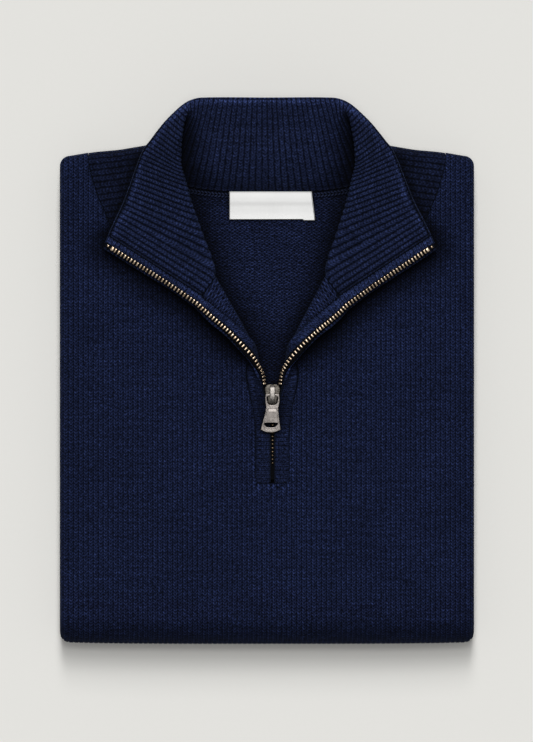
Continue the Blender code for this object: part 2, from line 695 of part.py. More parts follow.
# ---- hidden layers -------------------------------------------------------------------------------
# Section of the folded layers: z, half width, rear y, front y
LAYERS = [
    (2.6, 124.0, 131.5, -163.0), (3.3, 126.0, 135.0, -164.0), (5.0, 126.0, 136.6, -164.0),
    (6.7, 126.0, 135.4, -164.0), (7.3, 125.5, 131.0, -164.0), (7.9, 126.0, 132.6, -164.0),
    (10.2, 126.0, 134.6, -164.0), (12.8, 126.0, 133.0, -164.0), (14.2, 126.0, 129.0, -164.0),
    (14.4, 133.4, 138.2, -165.0), (14.9, 134.6, 140.0, -166.6), (15.8, 135.0, 140.8, -167.2),
    (16.7, 134.6, 140.0, -166.6), (17.2, 133.4, 138.2, -165.0), (17.5, 126.0, 129.5, -164.0),
    (20.9, 126.0, 129.5, -163.0), (23.0, 120.0, 135.0, -160.0), (27.0, 112.0, 139.0, -150.0),
    (28.6, 104.0, 136.0, -140.0),
]
CORNER_STEPS = 5


def make_layers():
    """Sleeves, lower back and turned-in sides as one rounded solid with layered edges."""
    loops = []
    for z, half, rear, front in LAYERS:
        radius = 9.0
        loop = []
        corners = ((1, rear, 0), (-1, rear, 90), (-1, front, 180), (1, front, 270))
        for side, end, start in corners:
            toward = 1 if end == rear else -1
            centre = Vector((side * (half - radius), end - toward * radius, z))
            for k in range(CORNER_STEPS):
                turn = math.radians(start + 90 * k / (CORNER_STEPS - 1))
                loop.append(centre + Vector((math.cos(turn), math.sin(turn), 0)) * radius)
            if start == 0:
                for share in (0.2, 0.4, 0.6, 0.8):
                    x = lerp(half - radius, radius - half, share)
                    loop.append(Vector((x, rear + 0.9 * math.sin(x / 17 + z), z)))
        loops.append(loop)
    return loft_solid("folded_layers", loops, "navy_jersey")


# ---- zip hardware --------------------------------------------------------------------------------
CHAIN_TOP_Y, CHAIN_LOW_Y = -22.6, -73.0
CHAIN_Z = 31.4
SLIDER_LOW_Z, SLIDER_HIGH_Z = 32.5, 38.3
PLATE = 1.3
HINGE_Y, HINGE_Z = -16.05, 39.7
PULL_TILT, PULL_LEAN, RING_END = 8.0, 0.075, 7.0
PULL_THICKNESS = 1.2
# Slider from above: y, half width
SLIDER_OUTLINE = [(-8.6, 2.2), (-9.2, 4.2), (-10.9, 5.25), (-13.4, 5.1), (-16.4, 4.2), (-18.2, 3.05),
                  (-21.4, 3.05), (-22.0, 2.4)]
# Pull from above: distance from its hinge bar, half width
PULL_OUTLINE = [(-0.65, 3.6), (0.3, 4.6), (4.6, 4.75), (8.4, 4.15), (12.0, 4.5), (22.6, 6.5), (23.6, 6.2),
                (24.8, 3.4), (25.2, 0.9)]
PULL_HOLE = [(0.65, 3.3), (4.4, 3.35), (6.1, 2.5), (6.6, 1.2)]
PULL_SLOT = [(18.9, 4.0), (20.3, 4.0), (21.6, 2.6), (22.0, 0.9)]


def make_closed_chain():
    half_wide, half_high = 2.5, 1.0
    loops = []
    for y in (CHAIN_LOW_Y, CHAIN_TOP_Y):
        loops.append([Vector((ZIP_X + a * half_wide, y, CHAIN_Z + b * half_high))
                      for a, b in ((-1, -1), (1, -1), (1, 1), (-1, 1))])
    return loft_solid("zip_chain_closed", loops, "zip_bronze", smooth=False)


def mirrored_outline(table):
    """A closed outline from rows of (y, half width): down one side and back up the other."""
    right = [(half, y) for y, half in table]
    left = [(-half, y) for y, half in reversed(table)]
    return right + left


def make_slider():
    """Two plates joined by a web, and the bridge that holds the pull."""
    outline = mirrored_outline(SLIDER_OUTLINE)
    middle_y = (SLIDER_OUTLINE[0][0] + SLIDER_OUTLINE[-1][0]) / 2
    levels = [(SLIDER_LOW_Z, 0.94), (SLIDER_LOW_Z + 0.3, 1.0), (SLIDER_LOW_Z + PLATE, 1.0),
              (SLIDER_LOW_Z + PLATE + 0.1, 0.62), (SLIDER_HIGH_Z - PLATE - 0.1, 0.62),
              (SLIDER_HIGH_Z - PLATE, 1.0), (SLIDER_HIGH_Z - 0.3, 1.0), (SLIDER_HIGH_Z, 0.94)]
    loops = [[Vector((ZIP_X + x * scale, middle_y + (y - middle_y) * scale, z)) for x, y in outline]
             for z, scale in levels]
    body = loft_solid("zip_slider", loops, "pull_nickel", smooth=False)
    half_wide, thick = 1.8, 0.6
    centre_y, centre_z, reach, height = -16.3, SLIDER_HIGH_Z, 5.2, 3.0
    ribs = []
    turns = 10
    for k in range(-1, turns + 2):
        turn = math.pi * min(max(k / turns, 0), 1)
        sink = 0.6 if k in (-1, turns + 1) else 0.0
        loop = []
        for a, b in ((-1, -1), (1, -1), (1, 1), (-1, 1)):
            y = centre_y + (reach + b * thick) * math.cos(turn)
            z = centre_z + (height + b * thick) * math.sin(turn) - sink
            loop.append(Vector((ZIP_X + a * half_wide, y, z)))
        ribs.append(loop)
    bridge = loft_solid("bridge_cutter", ribs, "pull_nickel", smooth=False)
    PARTS.objects.unlink(bridge)
    CUTTERS.objects.link(bridge)
    bridge.hide_render = True
    bridge.display_type = "WIRE"
    union = body.modifiers.new("bridge", "BOOLEAN")
    union.operation = "UNION"
    union.object = bridge
    return body


def pull_spline(curve, table):
    """A closed outline of the pull, leaning a little to one side as it hangs."""
    outline = mirrored_outline(table)
    spline = curve.splines.new("POLY")
    spline.points.add(len(outline) - 1)
    for point, (x, away) in zip(spline.points, outline):
        point.co = ((x - PULL_LEAN * max(away - RING_END, 0)) * MM, -away * MM, 0, 1)
    spline.use_cyclic_u = True


def make_pull():
    curve = bpy.data.curves.new("zip_pull", "CURVE")
    curve.dimensions = "2D"
    curve.fill_mode = "BOTH"
    curve.extrude = PULL_THICKNESS / 2 * MM
    for table in (PULL_OUTLINE, PULL_HOLE, PULL_SLOT):
        pull_spline(curve, table)
    curve.materials.append(material("pull_nickel"))
    pull = bpy.data.objects.new("zip_pull", curve)
    PARTS.objects.link(pull)
    pull.location = Vector((ZIP_X, HINGE_Y, HINGE_Z)) * MM
    pull.rotation_euler.x = math.radians(PULL_TILT)
    return pull


STOP_SIZE = (2.8, 3.4, 2.0)


def make_stop(side, name):
    """The stop that ends a row of teeth at the collar's corner."""
    root, inner = tape_section(11)[:2]
    ahead = (root - tape_section(10.9)[0]).normalized()
    across = (inner - root).normalized()
    up = ahead.cross(across).normalized()
    centre = root + ahead * (STOP_SIZE[0] / 2 + 0.4) + up * 1.2
    loops = []
    for a in (-1, 1):
        end = centre + ahead * a * STOP_SIZE[0] / 2
        corners = [end + across * b * STOP_SIZE[1] / 2 + up * c * STOP_SIZE[2] / 2
                   for b, c in ((-1, -1), (1, -1), (1, 1), (-1, 1))]
        loops.append([place(side, *corner) for corner in corners])
    return loft_solid(name, loops, "zip_gold", smooth=False)


clear_scene()
PARTS = new_collection("quarter_zip_sweater")
CUTTERS = new_collection("cutters")
SWEATER = bpy.data.objects.new("sweater", None)
PARTS.objects.link(SWEATER)

make_front()
make_layers()
make_back()
make_collar()
make_neck_seam()
make_label()
make_closed_chain()
make_slider()
make_pull()
for which, hand in ((-1, "left"), (1, "right")):
    make_shoulder(which, f"shoulder_{hand}")
    make_band(which, f"placket_{hand}")
    make_tape(which, f"zip_tape_{hand}")
    make_teeth(which, f"zip_chain_{hand}")
    make_stop(which, f"zip_stop_{hand}")
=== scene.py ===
"""How the folded quarter zip sweater looks: knit cloth, zip, label, floor, light and camera.

The tables repeat the part's own, in millimetres; meshes are made in millimetres and scaled once.
Knit sheets are lattices with four columns to a wale and two rows to a course. Points are arrays
whose last axis holds x, y and z; before `place` x is the distance out from the zip's slanting axis.
"""

import math

import bmesh
import bpy
import numpy as np
from mathutils import Matrix, Vector


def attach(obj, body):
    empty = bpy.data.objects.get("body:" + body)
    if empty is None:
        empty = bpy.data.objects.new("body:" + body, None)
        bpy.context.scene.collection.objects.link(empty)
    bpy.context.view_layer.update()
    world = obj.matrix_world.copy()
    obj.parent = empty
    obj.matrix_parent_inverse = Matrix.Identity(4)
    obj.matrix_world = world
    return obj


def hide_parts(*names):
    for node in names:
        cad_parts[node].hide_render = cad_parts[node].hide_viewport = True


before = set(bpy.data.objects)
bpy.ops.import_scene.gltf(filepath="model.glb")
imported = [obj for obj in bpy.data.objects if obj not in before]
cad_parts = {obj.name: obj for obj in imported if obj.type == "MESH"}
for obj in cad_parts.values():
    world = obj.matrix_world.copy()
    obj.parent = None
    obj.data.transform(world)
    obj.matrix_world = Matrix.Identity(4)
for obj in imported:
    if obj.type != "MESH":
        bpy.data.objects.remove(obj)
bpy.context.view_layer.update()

MM = 0.001
UP, DOWN, REARWARD = np.array([0.0, 0.0, 1.0]), np.array([0.0, 0.0, -1.0]), np.array([0.0, 1.0, 0.0])

# ---- the part's own sizes (mm) ----
HALF_WIDTH, BOTTOM_Y, STACK = 140.0, -184.5, 34.5
WALL, RIB_WALL, BAND_WALL, TAPE_WALL, LABEL_WALL = 2.2, 1.7, 1.8, 0.8, 0.6
SEAM_GAP, WING_SEAM_GAP, ROLLED_GAP = 0.3, 1.1, 0.8
CROWN, LOW_END_SAG = 2.4, 0.8
EDGE_BULGE, EDGE_TUCK = 7.0, 6.0
SHOULDER_SLOPE, SHOULDER_END_Y, SHOULDER_OUTER_RISE = 0.17, 143.2, 1.4
HEM_Y = 137.0
ZIP_X, AXIS_TOP_Y, AXIS_ZIP_Y = 3.7, 184.0, -10.0
PLACKET_END_Y = -75.3
BAND_WIDTH, NARROWING = 10.0, 1.3
SADDLE_LOW_Y = 95.0
RIB_PITCH, RIB_RELIEF = 3.25, 0.42
SADDLE_RIBS, SADDLE_RELIEF = 11, 0.42
MID = WALL / 2
TOP_MID = STACK - MID
BULGE_MID = EDGE_BULGE - MID
ROLL_Y = BOTTOM_Y + STACK / 2
ROLL_MID = STACK / 2 - MID
SIDE_BASE_X = HALF_WIDTH - EDGE_BULGE
FOLD_RISE, FOLD_STEEPEST = 6.5, 0.45
SEAM_SETBACK = 1.3
TAPE_LIFT, EXTRA_LIFT, TEETH_HEIGHT = 1.6, 0.3, 1.8
SHOULDER_INNER, SHOULDER_PLAIN, SHOULDER_SAG, SHOULDER_LOW_GAP = 80.6, 1.2, 1.4, 0.6
SHOULDER_TILT_LOW, SHOULDER_TILT_TOP = 8.5, 4.9
FLOOR_DROP, FLOOR_LOW_Y = WALL + 0.35, -13.0
NECK_SEAM_HEIGHT = 1.1
LABEL_LEFT, LABEL_RIGHT, LABEL_TOP_Y, LABEL_LOW_Y = -25.1, 32.3, 121.3, 102.1
CHAIN_TOP_Y, CHAIN_LOW_Y, CHAIN_Z = -22.6, -73.0, 31.4
SLIDER_LOW_Z, SLIDER_HIGH_Z = 32.5, 38.3
HINGE_Y, HINGE_Z = -16.05, 39.7
PULL_TILT, PULL_LEAN, RING_END, PULL_THICKNESS = 8.0, 0.075, 7.0, 1.2

# ---- the knit ----
WALE, COURSE, BAND_WALE = 3.35, 2.1, 2.8
COLUMNS, ROWS = 4, 2                            # of the lattice, in a wale and in a course
KNIT_RELIEF, BAND_RELIEF, FACING_RELIEF, PURL_RELIEF = 0.34, 0.26, 0.24, 0.26
LEAN = np.array([0.8, 0.4, 0.0, 0.4])           # courses that a row rises: between wales, leg, middle, leg
RIDGE = np.array([-0.7, 1.0, 0.5, 1.0])         # heights along a lattice row, and along the row between
VALLEY = np.array([-1.0, 0.0, -1.0, 0.0])
PURL_ROW = np.array([1.0, 0.0, -0.8, 0.0])


# ---- helpers ----
def lerp(a, b, t):
    return a + (b - a) * t


def mix(a, b, t):
    return lerp(a, b, np.asarray(t)[..., None])


def unit(vectors):
    return vectors / np.maximum(np.linalg.norm(vectors, axis=-1, keepdims=True), 1e-9)


def smooth(low, high, value):
    t = np.clip((value - low) / (high - low), 0.0, 1.0)
    return t * t * (3 - 2 * t)


def grids(*values):
    return np.broadcast_arrays(*(np.asarray(value, float) for value in values))


def vec(*parts):
    return np.stack(np.broadcast_arrays(*parts), axis=-1).astype(float)


def closed(loops):
    """Rings of points as a grid, with each ring's first point once more at its end."""
    loops = np.array(loops)
    return np.concatenate([loops, loops[:, :1]], axis=1)


def read_table(rows, key):
    """The row values at `key`, on a smooth curve through rows of (key, value, value, ...)."""
    rows = np.asarray(rows, float)
    keys = rows[:, 0]
    last = len(rows) - 1
    key = np.clip(np.asarray(key, float), keys[0], keys[-1])
    k = np.clip(np.searchsorted(keys[1:], key, side="left"), 0, last - 1)
    before, beyond = np.maximum(np.arange(last + 1) - 1, 0), np.minimum(np.arange(last + 1) + 1, last)
    slopes = (rows[beyond] - rows[before]) / (keys[beyond] - keys[before])[:, None]
    span = (keys[k + 1] - keys[k])[..., None]
    t = (key[..., None] - keys[k][..., None]) / span
    a, b = rows[k][..., 1:], rows[k + 1][..., 1:]
    h = ((2 * t - 3) * t * t + 1, (t - 2) * t * t + t, (3 - 2 * t) * t * t, (t - 1) * t * t)
    values = h[0] * a + h[1] * span * slopes[k][..., 1:] + h[2] * b + h[3] * span * slopes[k + 1][..., 1:]
    return values if values.shape[-1] > 1 else values[..., 0]


def bezier(a, b, c, t):
    t = np.asarray(t)[..., None]
    return a * (1 - t) ** 2 + b * 2 * t * (1 - t) + c * t * t


def two_bends(start, below, middle, above, end, travel):
    """A point on two bends that join in the middle: travel 0 to 1 on the first, 1 to 2 on the second."""
    first = bezier(start, below, middle, np.clip(travel, 0, 1))
    second = bezier(middle, above, end, np.clip(travel - 1, 0, 1))
    return np.where((travel <= 1)[..., None], first, second)


def run_of(points):
    """Length run along a line of points."""
    steps = np.linalg.norm(np.diff(points, axis=0), axis=-1)
    return np.concatenate([[0.0], np.cumsum(steps)])


def arc_table(points):
    points = np.asarray(points, float)
    return np.column_stack([run_of(points), points])


# ---- the part's own tables ----
COLLAR_EDGE = arc_table([(0, 183.7), (44, 183.7), (51, 182.2), (57, 178.8), (63, 173.6), (69, 167.6),
                         (74, 161.6), (79, 155.1), (84, 148.6), (97, 115.5), (104, 101), (108.3, 91.9)])
HALF_RIBS = COLLAR_EDGE[-1][0] / RIB_PITCH
NECK_SEAM = [
    (0, 0, 121.3, 31.5), (6, 28, 121.5, 31.5), (12, 55, 124.6, 31.4), (14.3, 66, 128.6, 31.2),
    (16.4, 75, 132.2, 31.0), (17.4, 78.8, 133.4, 31.6), (18.2, 80.2, 132.8, 33.0),
    (19.2, 80.2, 130.2, 34.2), (21.6, 79.2, 122, 34.2), (25.3, 75.5, 109, 34.0),
    (29.4, 71, 96.5, 33.6), (33.6, 64, 83.5, 33.8), (38, 54, 71.8, 34.2), (41.7, 44, 65.6, 36.2),
    (44.9, 37.7, 63.4, 40.6), (47, 40.8, 57.6, 43.6), (49.5, 45.8, 50.9, 42.4),
]
COLLAR_ROLL = [
    (0, 0, 165, 51.0), (12, 43, 167, 52.6), (15, 49.4, 172, 54.0), (17, 52.4, 175, 54.4),
    (18, 54.2, 174.4, 54.8), (20, 56.8, 168.0, 54.2), (22, 58, 161.2, 53.0), (24, 59, 154.5, 52.0),
    (26, 59.4, 147.7, 51.0), (28, 59.6, 141, 50.0), (30, 58.8, 136, 49.2), (32, 57.4, 131, 48.2),
    (34, 55.9, 125, 47.2), (36, 54, 117.8, 46.2), (38, 51.8, 109.9, 45.2), (40, 48.7, 100.8, 44.2),
    (42, 44.6, 89, 43.2), (44, 39.8, 76, 42.6), (44.9, 38.4, 68, 42.8), (47, 43.6, 61, 44.2),
    (49.5, 52, 55, 42.6),
]
COLLAR_BOW = [(0, 0.5), (12, 0.45), (15.5, 0.26), (17, 0.3), (18.5, 0.6), (20, 0.8), (24, 0.75),
              (30, 0.55), (36, 0.35), (42, 0.15), (49.5, 0.12)]
COLLAR_EDGE_Z = [(0, 57), (12, 57), (15, 56.6), (17, 55.6), (20, 53), (24, 48.6), (28, 44.6), (32, 41.8),
                 (36, 40.4), (40, 39.6), (44, 39.2), (49.5, 38.8)]
LAPEL = [
    (0, 1.4, -75.3, 33.7, 8.0, -75.3, 33.6, 21.0, -75.3),
    (1, 1.4, -58.0, 33.8, 8.0, -58.0, 33.6, 21.0, -58.0),
    (2, 1.4, -42.0, 33.9, 8.0, -42.0, 33.6, 21.0, -42.0),
    (3, 2.8, -27.0, 34.2, 8.8, -27.0, 33.7, 21.5, -27.0),
    (4, 6.2, -12.5, 35.6, 10.4, -12.0, 34.2, 23.5, -11.0),
    (5, 9.2, -3.5, 37.8, 11.0, -1.5, 35.2, 25.5, -1.0),
    (6, 13.9, 5.0, 40.4, 11.2, 8.0, 36.8, 28.0, 8.5),
    (7, 21.0, 14.1, 42.0, 13.6, 18.2, 38.4, 31.0, 19.0),
    (8, 30.7, 25.0, 42.2, 19.2, 30.0, 39.6, 36.0, 32.0),
    (9, 40.6, 33.3, 41.6, 27.6, 45.4, 40.2, 43.0, 48.5),
    (10, 51.3, 42.8, 40.8, 37.4, 63.4, 40.6, 54.0, 71.8),
]
SEAM_ROW = LAPEL[-1][0]
WING_EDGE = [(0, 51.3, 42.8, 40.8), (0.25, 65.6, 53.1, 39.6), (0.5, 80.5, 62.6, 38.8),
             (0.75, 96.0, 72.4, 38.4), (1, 112.4, 83.2, 38.0)]
TEETH_SHARE = [(4, -0.08), (4.7, 0.0), (5.2, 0.10), (6, 0.24), (7, 0.26), (8, 0.32), (9, 0.40),
               (10, 0.38), (10.5, 0.43), (11, 0.4)]
SADDLE_EDGE = [(92, 104.0), (97.3, 105.6), (101.4, 106.9), (109.4, 110.0), (117.5, 113.6),
               (127.2, 116.8), (137.1, 119.4), (148, 120.4)]
LAYERS = [
    (2.6, 124.0, 131.5, -163.0), (3.3, 126.0, 135.0, -164.0), (5.0, 126.0, 136.6, -164.0),
    (6.7, 126.0, 135.4, -164.0), (7.3, 125.5, 131.0, -164.0), (7.9, 126.0, 132.6, -164.0),
    (10.2, 126.0, 134.6, -164.0), (12.8, 126.0, 133.0, -164.0), (14.2, 126.0, 129.0, -164.0),
    (14.4, 133.4, 138.2, -165.0), (14.9, 134.6, 140.0, -166.6), (15.8, 135.0, 140.8, -167.2),
    (16.7, 134.6, 140.0, -166.6), (17.2, 133.4, 138.2, -165.0), (17.5, 126.0, 129.5, -164.0),
    (20.9, 126.0, 129.5, -163.0), (23.0, 120.0, 135.0, -160.0), (27.0, 112.0, 139.0, -150.0),
    (28.6, 104.0, 136.0, -140.0),
]


# ---- the part's own surfaces ----
def axis_x(y):
    return ZIP_X * np.clip((AXIS_TOP_Y - y) / (AXIS_TOP_Y - AXIS_ZIP_Y), 0.0, 1.0)


def place(side, points):
    """Points (out, y, z) of the neck on the left (-1) or the right (+1) side."""
    return vec(axis_x(points[..., 1]) + side * points[..., 0], points[..., 1], points[..., 2])


def crown(x, y):
    """How much lower the top lies than in its middle."""
    return CROWN * np.minimum(abs(x) / HALF_WIDTH, 1.0) ** 4 + LOW_END_SAG * smooth(-110, -165, y)


def top_z(x, y):
    return TOP_MID - crown(x, y)


def floor_z(x, y):
    return top_z(x, y) - FLOOR_DROP


def rear_y(x):
    """The shoulder line: a slope, a little higher at its outer end."""
    line = SHOULDER_END_Y + SHOULDER_SLOPE * (HALF_WIDTH - abs(x))
    return line + SHOULDER_OUTER_RISE * smooth(96, 120, abs(x))


def rear_base(x):
    """Where the flat top ends and the rear fold begins."""
    return rear_y(x) - EDGE_BULGE


def saddle_edge(y):
    return read_table(SADDLE_EDGE, y)


# How the collar's standing back bows and leans
BACK_BOW, BACK_LEAN = np.array([0.0, -7.0, 6.0]), np.array([0.0, 0.0, 1.2])


def collar_point(rib, travel):
    """The collar's middle surface; travel runs 0 to 1 to the fold and 1 to 2 to the free edge."""
    rib, travel = grids(rib, travel)
    seam = read_table(NECK_SEAM, rib)
    roll = read_table(COLLAR_ROLL, rib)
    edge = read_table(COLLAR_EDGE, rib * RIB_PITCH)
    edge = vec(edge[..., 0], edge[..., 1], read_table(COLLAR_EDGE_Z, rib))
    fold = smooth(15.5, 19.5, rib) * (1 - smooth(41, 45.5, rib))
    petal = BACK_BOW * (1 - smooth(8, 15, rib))[..., None]
    below = mix((seam + roll) / 2, roll, fold)
    below[..., 2] = lerp(seam[..., 2], roll[..., 2], read_table(COLLAR_BOW, rib))
    rise = np.zeros_like(roll)
    rise[..., 2] = np.minimum(FOLD_RISE, np.linalg.norm(edge - roll, axis=-1) * FOLD_STEEPEST)
    above = mix((roll + edge) / 2 + BACK_LEAN, roll + rise, fold)
    return two_bends(seam, below + petal, roll, above, edge, travel)


# How far the turned roll starts over the flat and arches over its crest
ROLL_FOOT, ROLL_RISE = np.array([0, 0, 0.4]), np.array([0, 0, 4.4])


def lapel_section(row, travel):
    """The front's section at a row: 0 on the flat, 1 at the roll, 2 at the band's free edge."""
    row, travel = grids(row, travel)
    values = read_table(LAPEL, row)
    edge, roll = values[..., 0:3], values[..., 3:6]
    flat = vec(values[..., 6], values[..., 7], top_z(values[..., 6], values[..., 7]))
    turned = smooth(4.5, 7.0, row)
    low = (flat + roll) / 2
    low[..., 2] = flat[..., 2]
    below = mix(low, vec(roll[..., 0], roll[..., 1], flat[..., 2]) + ROLL_FOOT, turned)
    above = mix((roll + edge) / 2, roll + ROLL_RISE, turned)
    return two_bends(flat, below, roll, above, edge, travel)


def band_travel(row, width):
    """Where along each row's section a point lies `width` in from the band's free edge."""
    travels = np.linspace(2, 0, 401)
    return np.array([np.interp(one_width, run_of(lapel_section(one_row, travels)), travels)
                     for one_row, one_width in zip(row, width)])


WING_SAMPLES = collar_point(HALF_RIBS, np.linspace(0, 2, 241))
WING_RUN = run_of(WING_SAMPLES)


def wing_seam(along):
    wanted = np.asarray(along) * WING_RUN[-1]
    return vec(*(np.interp(wanted, WING_RUN, WING_SAMPLES[:, k]) for k in range(3)))


def band_width(row):
    return BAND_WIDTH - NARROWING * smooth(8, SEAM_ROW, row)


BAND_TRAVEL_KEYS = np.linspace(0, SEAM_ROW, 201)
BAND_TRAVELS = band_travel(BAND_TRAVEL_KEYS, band_width(BAND_TRAVEL_KEYS))
LAST_KEY = SEAM_ROW + 1         # keys are lapel rows up to the collar's seam, then the run to its corner


def band_point(key, share):
    """The band's middle surface; share 0 is its free edge and 1 its seam with front or collar."""
    key, share = grids(key, share)
    seam_travel = np.interp(key, BAND_TRAVEL_KEYS, BAND_TRAVELS)
    on_lapel = lapel_section(np.minimum(key, SEAM_ROW), lerp(2.0, seam_travel, share))
    along = np.clip(key - SEAM_ROW, 0, 1)
    edge = read_table(WING_EDGE, along)
    seam = wing_seam(along)
    on_wing = mix(edge, seam + unit(edge - seam) * WING_SEAM_GAP, share)
    return np.where((key < SEAM_ROW)[..., None], on_lapel, on_wing)


# How far the open zip bows outwards at the band's free edge, by key, on the left and on the right
BOW = {-1: [(6.4, 0.0), (7.2, 0.45), (7.9, 0.8), (8.6, 0.9), (9.2, 0.6), (9.8, 0.0), (10.3, -0.6),
            (10.6, -0.5), (11, 0.0)],
       1: [(5.5, 0.0), (6.2, 0.5), (6.8, 0.8), (7.3, 1.3), (7.8, 1.9), (8.3, 2.4), (8.8, 2.5), (9.3, 2.4),
           (9.8, 1.9), (10.1, 1.3), (10.4, 0.85), (11, 0.7)]}


def bowed(side, key, share, points):
    """Points of the band pushed outwards: fully from its free edge to the teeth, not at all at its seam."""
    out = band_point(key, 0.0) - band_point(key, 1.0)
    out[..., 2] = 0
    return points + unit(out) * (read_table(BOW[side], key) * smooth(1.0, 0.5, share))[..., None]


def band_inside(key, share, step=0.03, reach=0.05):
    """The direction that the band's inner side faces: down below the slider, up on the wings."""
    key, share = grids(key, share)
    key = np.clip(key, step, LAST_KEY - step)
    along = band_point(key + step, share) - band_point(key - step, share)
    across = band_point(key, np.minimum(share + reach, 1)) - band_point(key, np.maximum(share - reach, 0))
    return unit(np.cross(along, across))


def band_lift(key):
    return TAPE_LIFT + EXTRA_LIFT * smooth(4, 5.3, key) * (1 - smooth(6.4, 7.5, key))


def along_band(low, high, step, share=0.0):
    """Keys spaced evenly by length along the band."""
    keys = np.linspace(low, high, 900)
    run = run_of(band_point(keys, share))
    count = max(int(round(run[-1] / step)), 1)
    return np.interp(np.linspace(0, run[-1], count + 1), run, keys)


def body_inward(t):
    """The direction into the stack along the front's path; t is the length run up the front."""
    turn = np.clip((ROLL_Y - t) / ROLL_MID, 0, math.pi)
    return vec(0 * turn, np.sin(turn), -np.cos(turn))


def past_edges(s, t):
    """The rear end of the flat top, and how far a point lies past its side, its rear end and both."""
    rear = rear_base(np.minimum(abs(s), SIDE_BASE_X))
    over_s, over_t = np.maximum(abs(s) - SIDE_BASE_X, 0), np.maximum(t - rear, 0)
    return rear, over_s, over_t, np.hypot(over_s, over_t)


def body_map(s, t):
    """The front's middle surface: s is the length run across it, t the length run up it."""
    side = np.where(s < 0, -1.0, 1.0)
    rear, over_x, over_y, over = past_edges(s, t)
    on_path = np.minimum(t, rear)
    turn = np.clip((ROLL_Y - on_path) / ROLL_MID, 0, math.pi)
    beyond = np.maximum(ROLL_Y - on_path - math.pi * ROLL_MID, 0)
    x = side * np.minimum(abs(s), SIDE_BASE_X)
    y = np.where(on_path < ROLL_Y, ROLL_Y - ROLL_MID * np.sin(turn) + beyond, on_path)
    inward = body_inward(on_path)
    base = vec(x, y, STACK / 2 + ROLL_MID * np.cos(turn))
    base = base + inward * (crown(x, y) * (1 - turn / math.pi))[..., None]
    aim = vec(side * over_x, over_y, 0 * over) / np.maximum(over, 1e-9)[..., None]
    bend = np.minimum(over / BULGE_MID, math.pi)
    reach = BULGE_MID * np.sin(bend) - np.maximum(over - math.pi * BULGE_MID, 0)
    drop = BULGE_MID * (1 - np.cos(bend))
    return base + aim * reach[..., None] + inward * drop[..., None]


# ---- meshes ----
def normals_of(points):
    """Unit normals of a grid of points: the direction of columns crossed with that of rows."""
    return unit(np.cross(np.gradient(points, axis=1), np.gradient(points, axis=0)))


def surface_normals(surface, s, t, step=0.4):
    across = surface(s + step, t) - surface(s - step, t)
    along = surface(s, t + step) - surface(s, t - step)
    return unit(np.cross(across, along))


def grid_quads(rows, columns):
    first = np.arange(rows * columns).reshape(rows, columns)
    return np.stack([first[:-1, :-1], first[:-1, 1:], first[1:, 1:], first[1:, :-1]], -1).reshape(-1, 4)


def whole_quads(gone):
    """Which quads of a lattice keep at least one of their corners."""
    return ~(gone[:-1, :-1] & gone[:-1, 1:] & gone[1:, 1:] & gone[1:, :-1])


def border_of(rows, columns):
    """Row and column of each point round a grid's edge."""
    ring = [(0, j) for j in range(columns)] + [(i, columns - 1) for i in range(1, rows)]
    ring += [(rows - 1, j) for j in range(columns - 2, -1, -1)] + [(i, 0) for i in range(rows - 2, 0, -1)]
    return np.array(ring)


def with_tone(knit, tone_and_painted_light=0.0):
    """Knit coordinates (wales, courses) with how much lighter the colour is made there, mostly painted
    light and shade.
    """
    if knit.shape[-1] == 3:
        return knit
    return np.concatenate([knit, np.broadcast_to(np.asarray(tone_and_painted_light, float), knit.shape[:-1])[..., None]], -1)


def add_object(name, data, look=None):
    made = bpy.data.objects.new(name, data)
    bpy.context.scene.collection.objects.link(made)
    if look:
        data.materials.append(look)
    return made


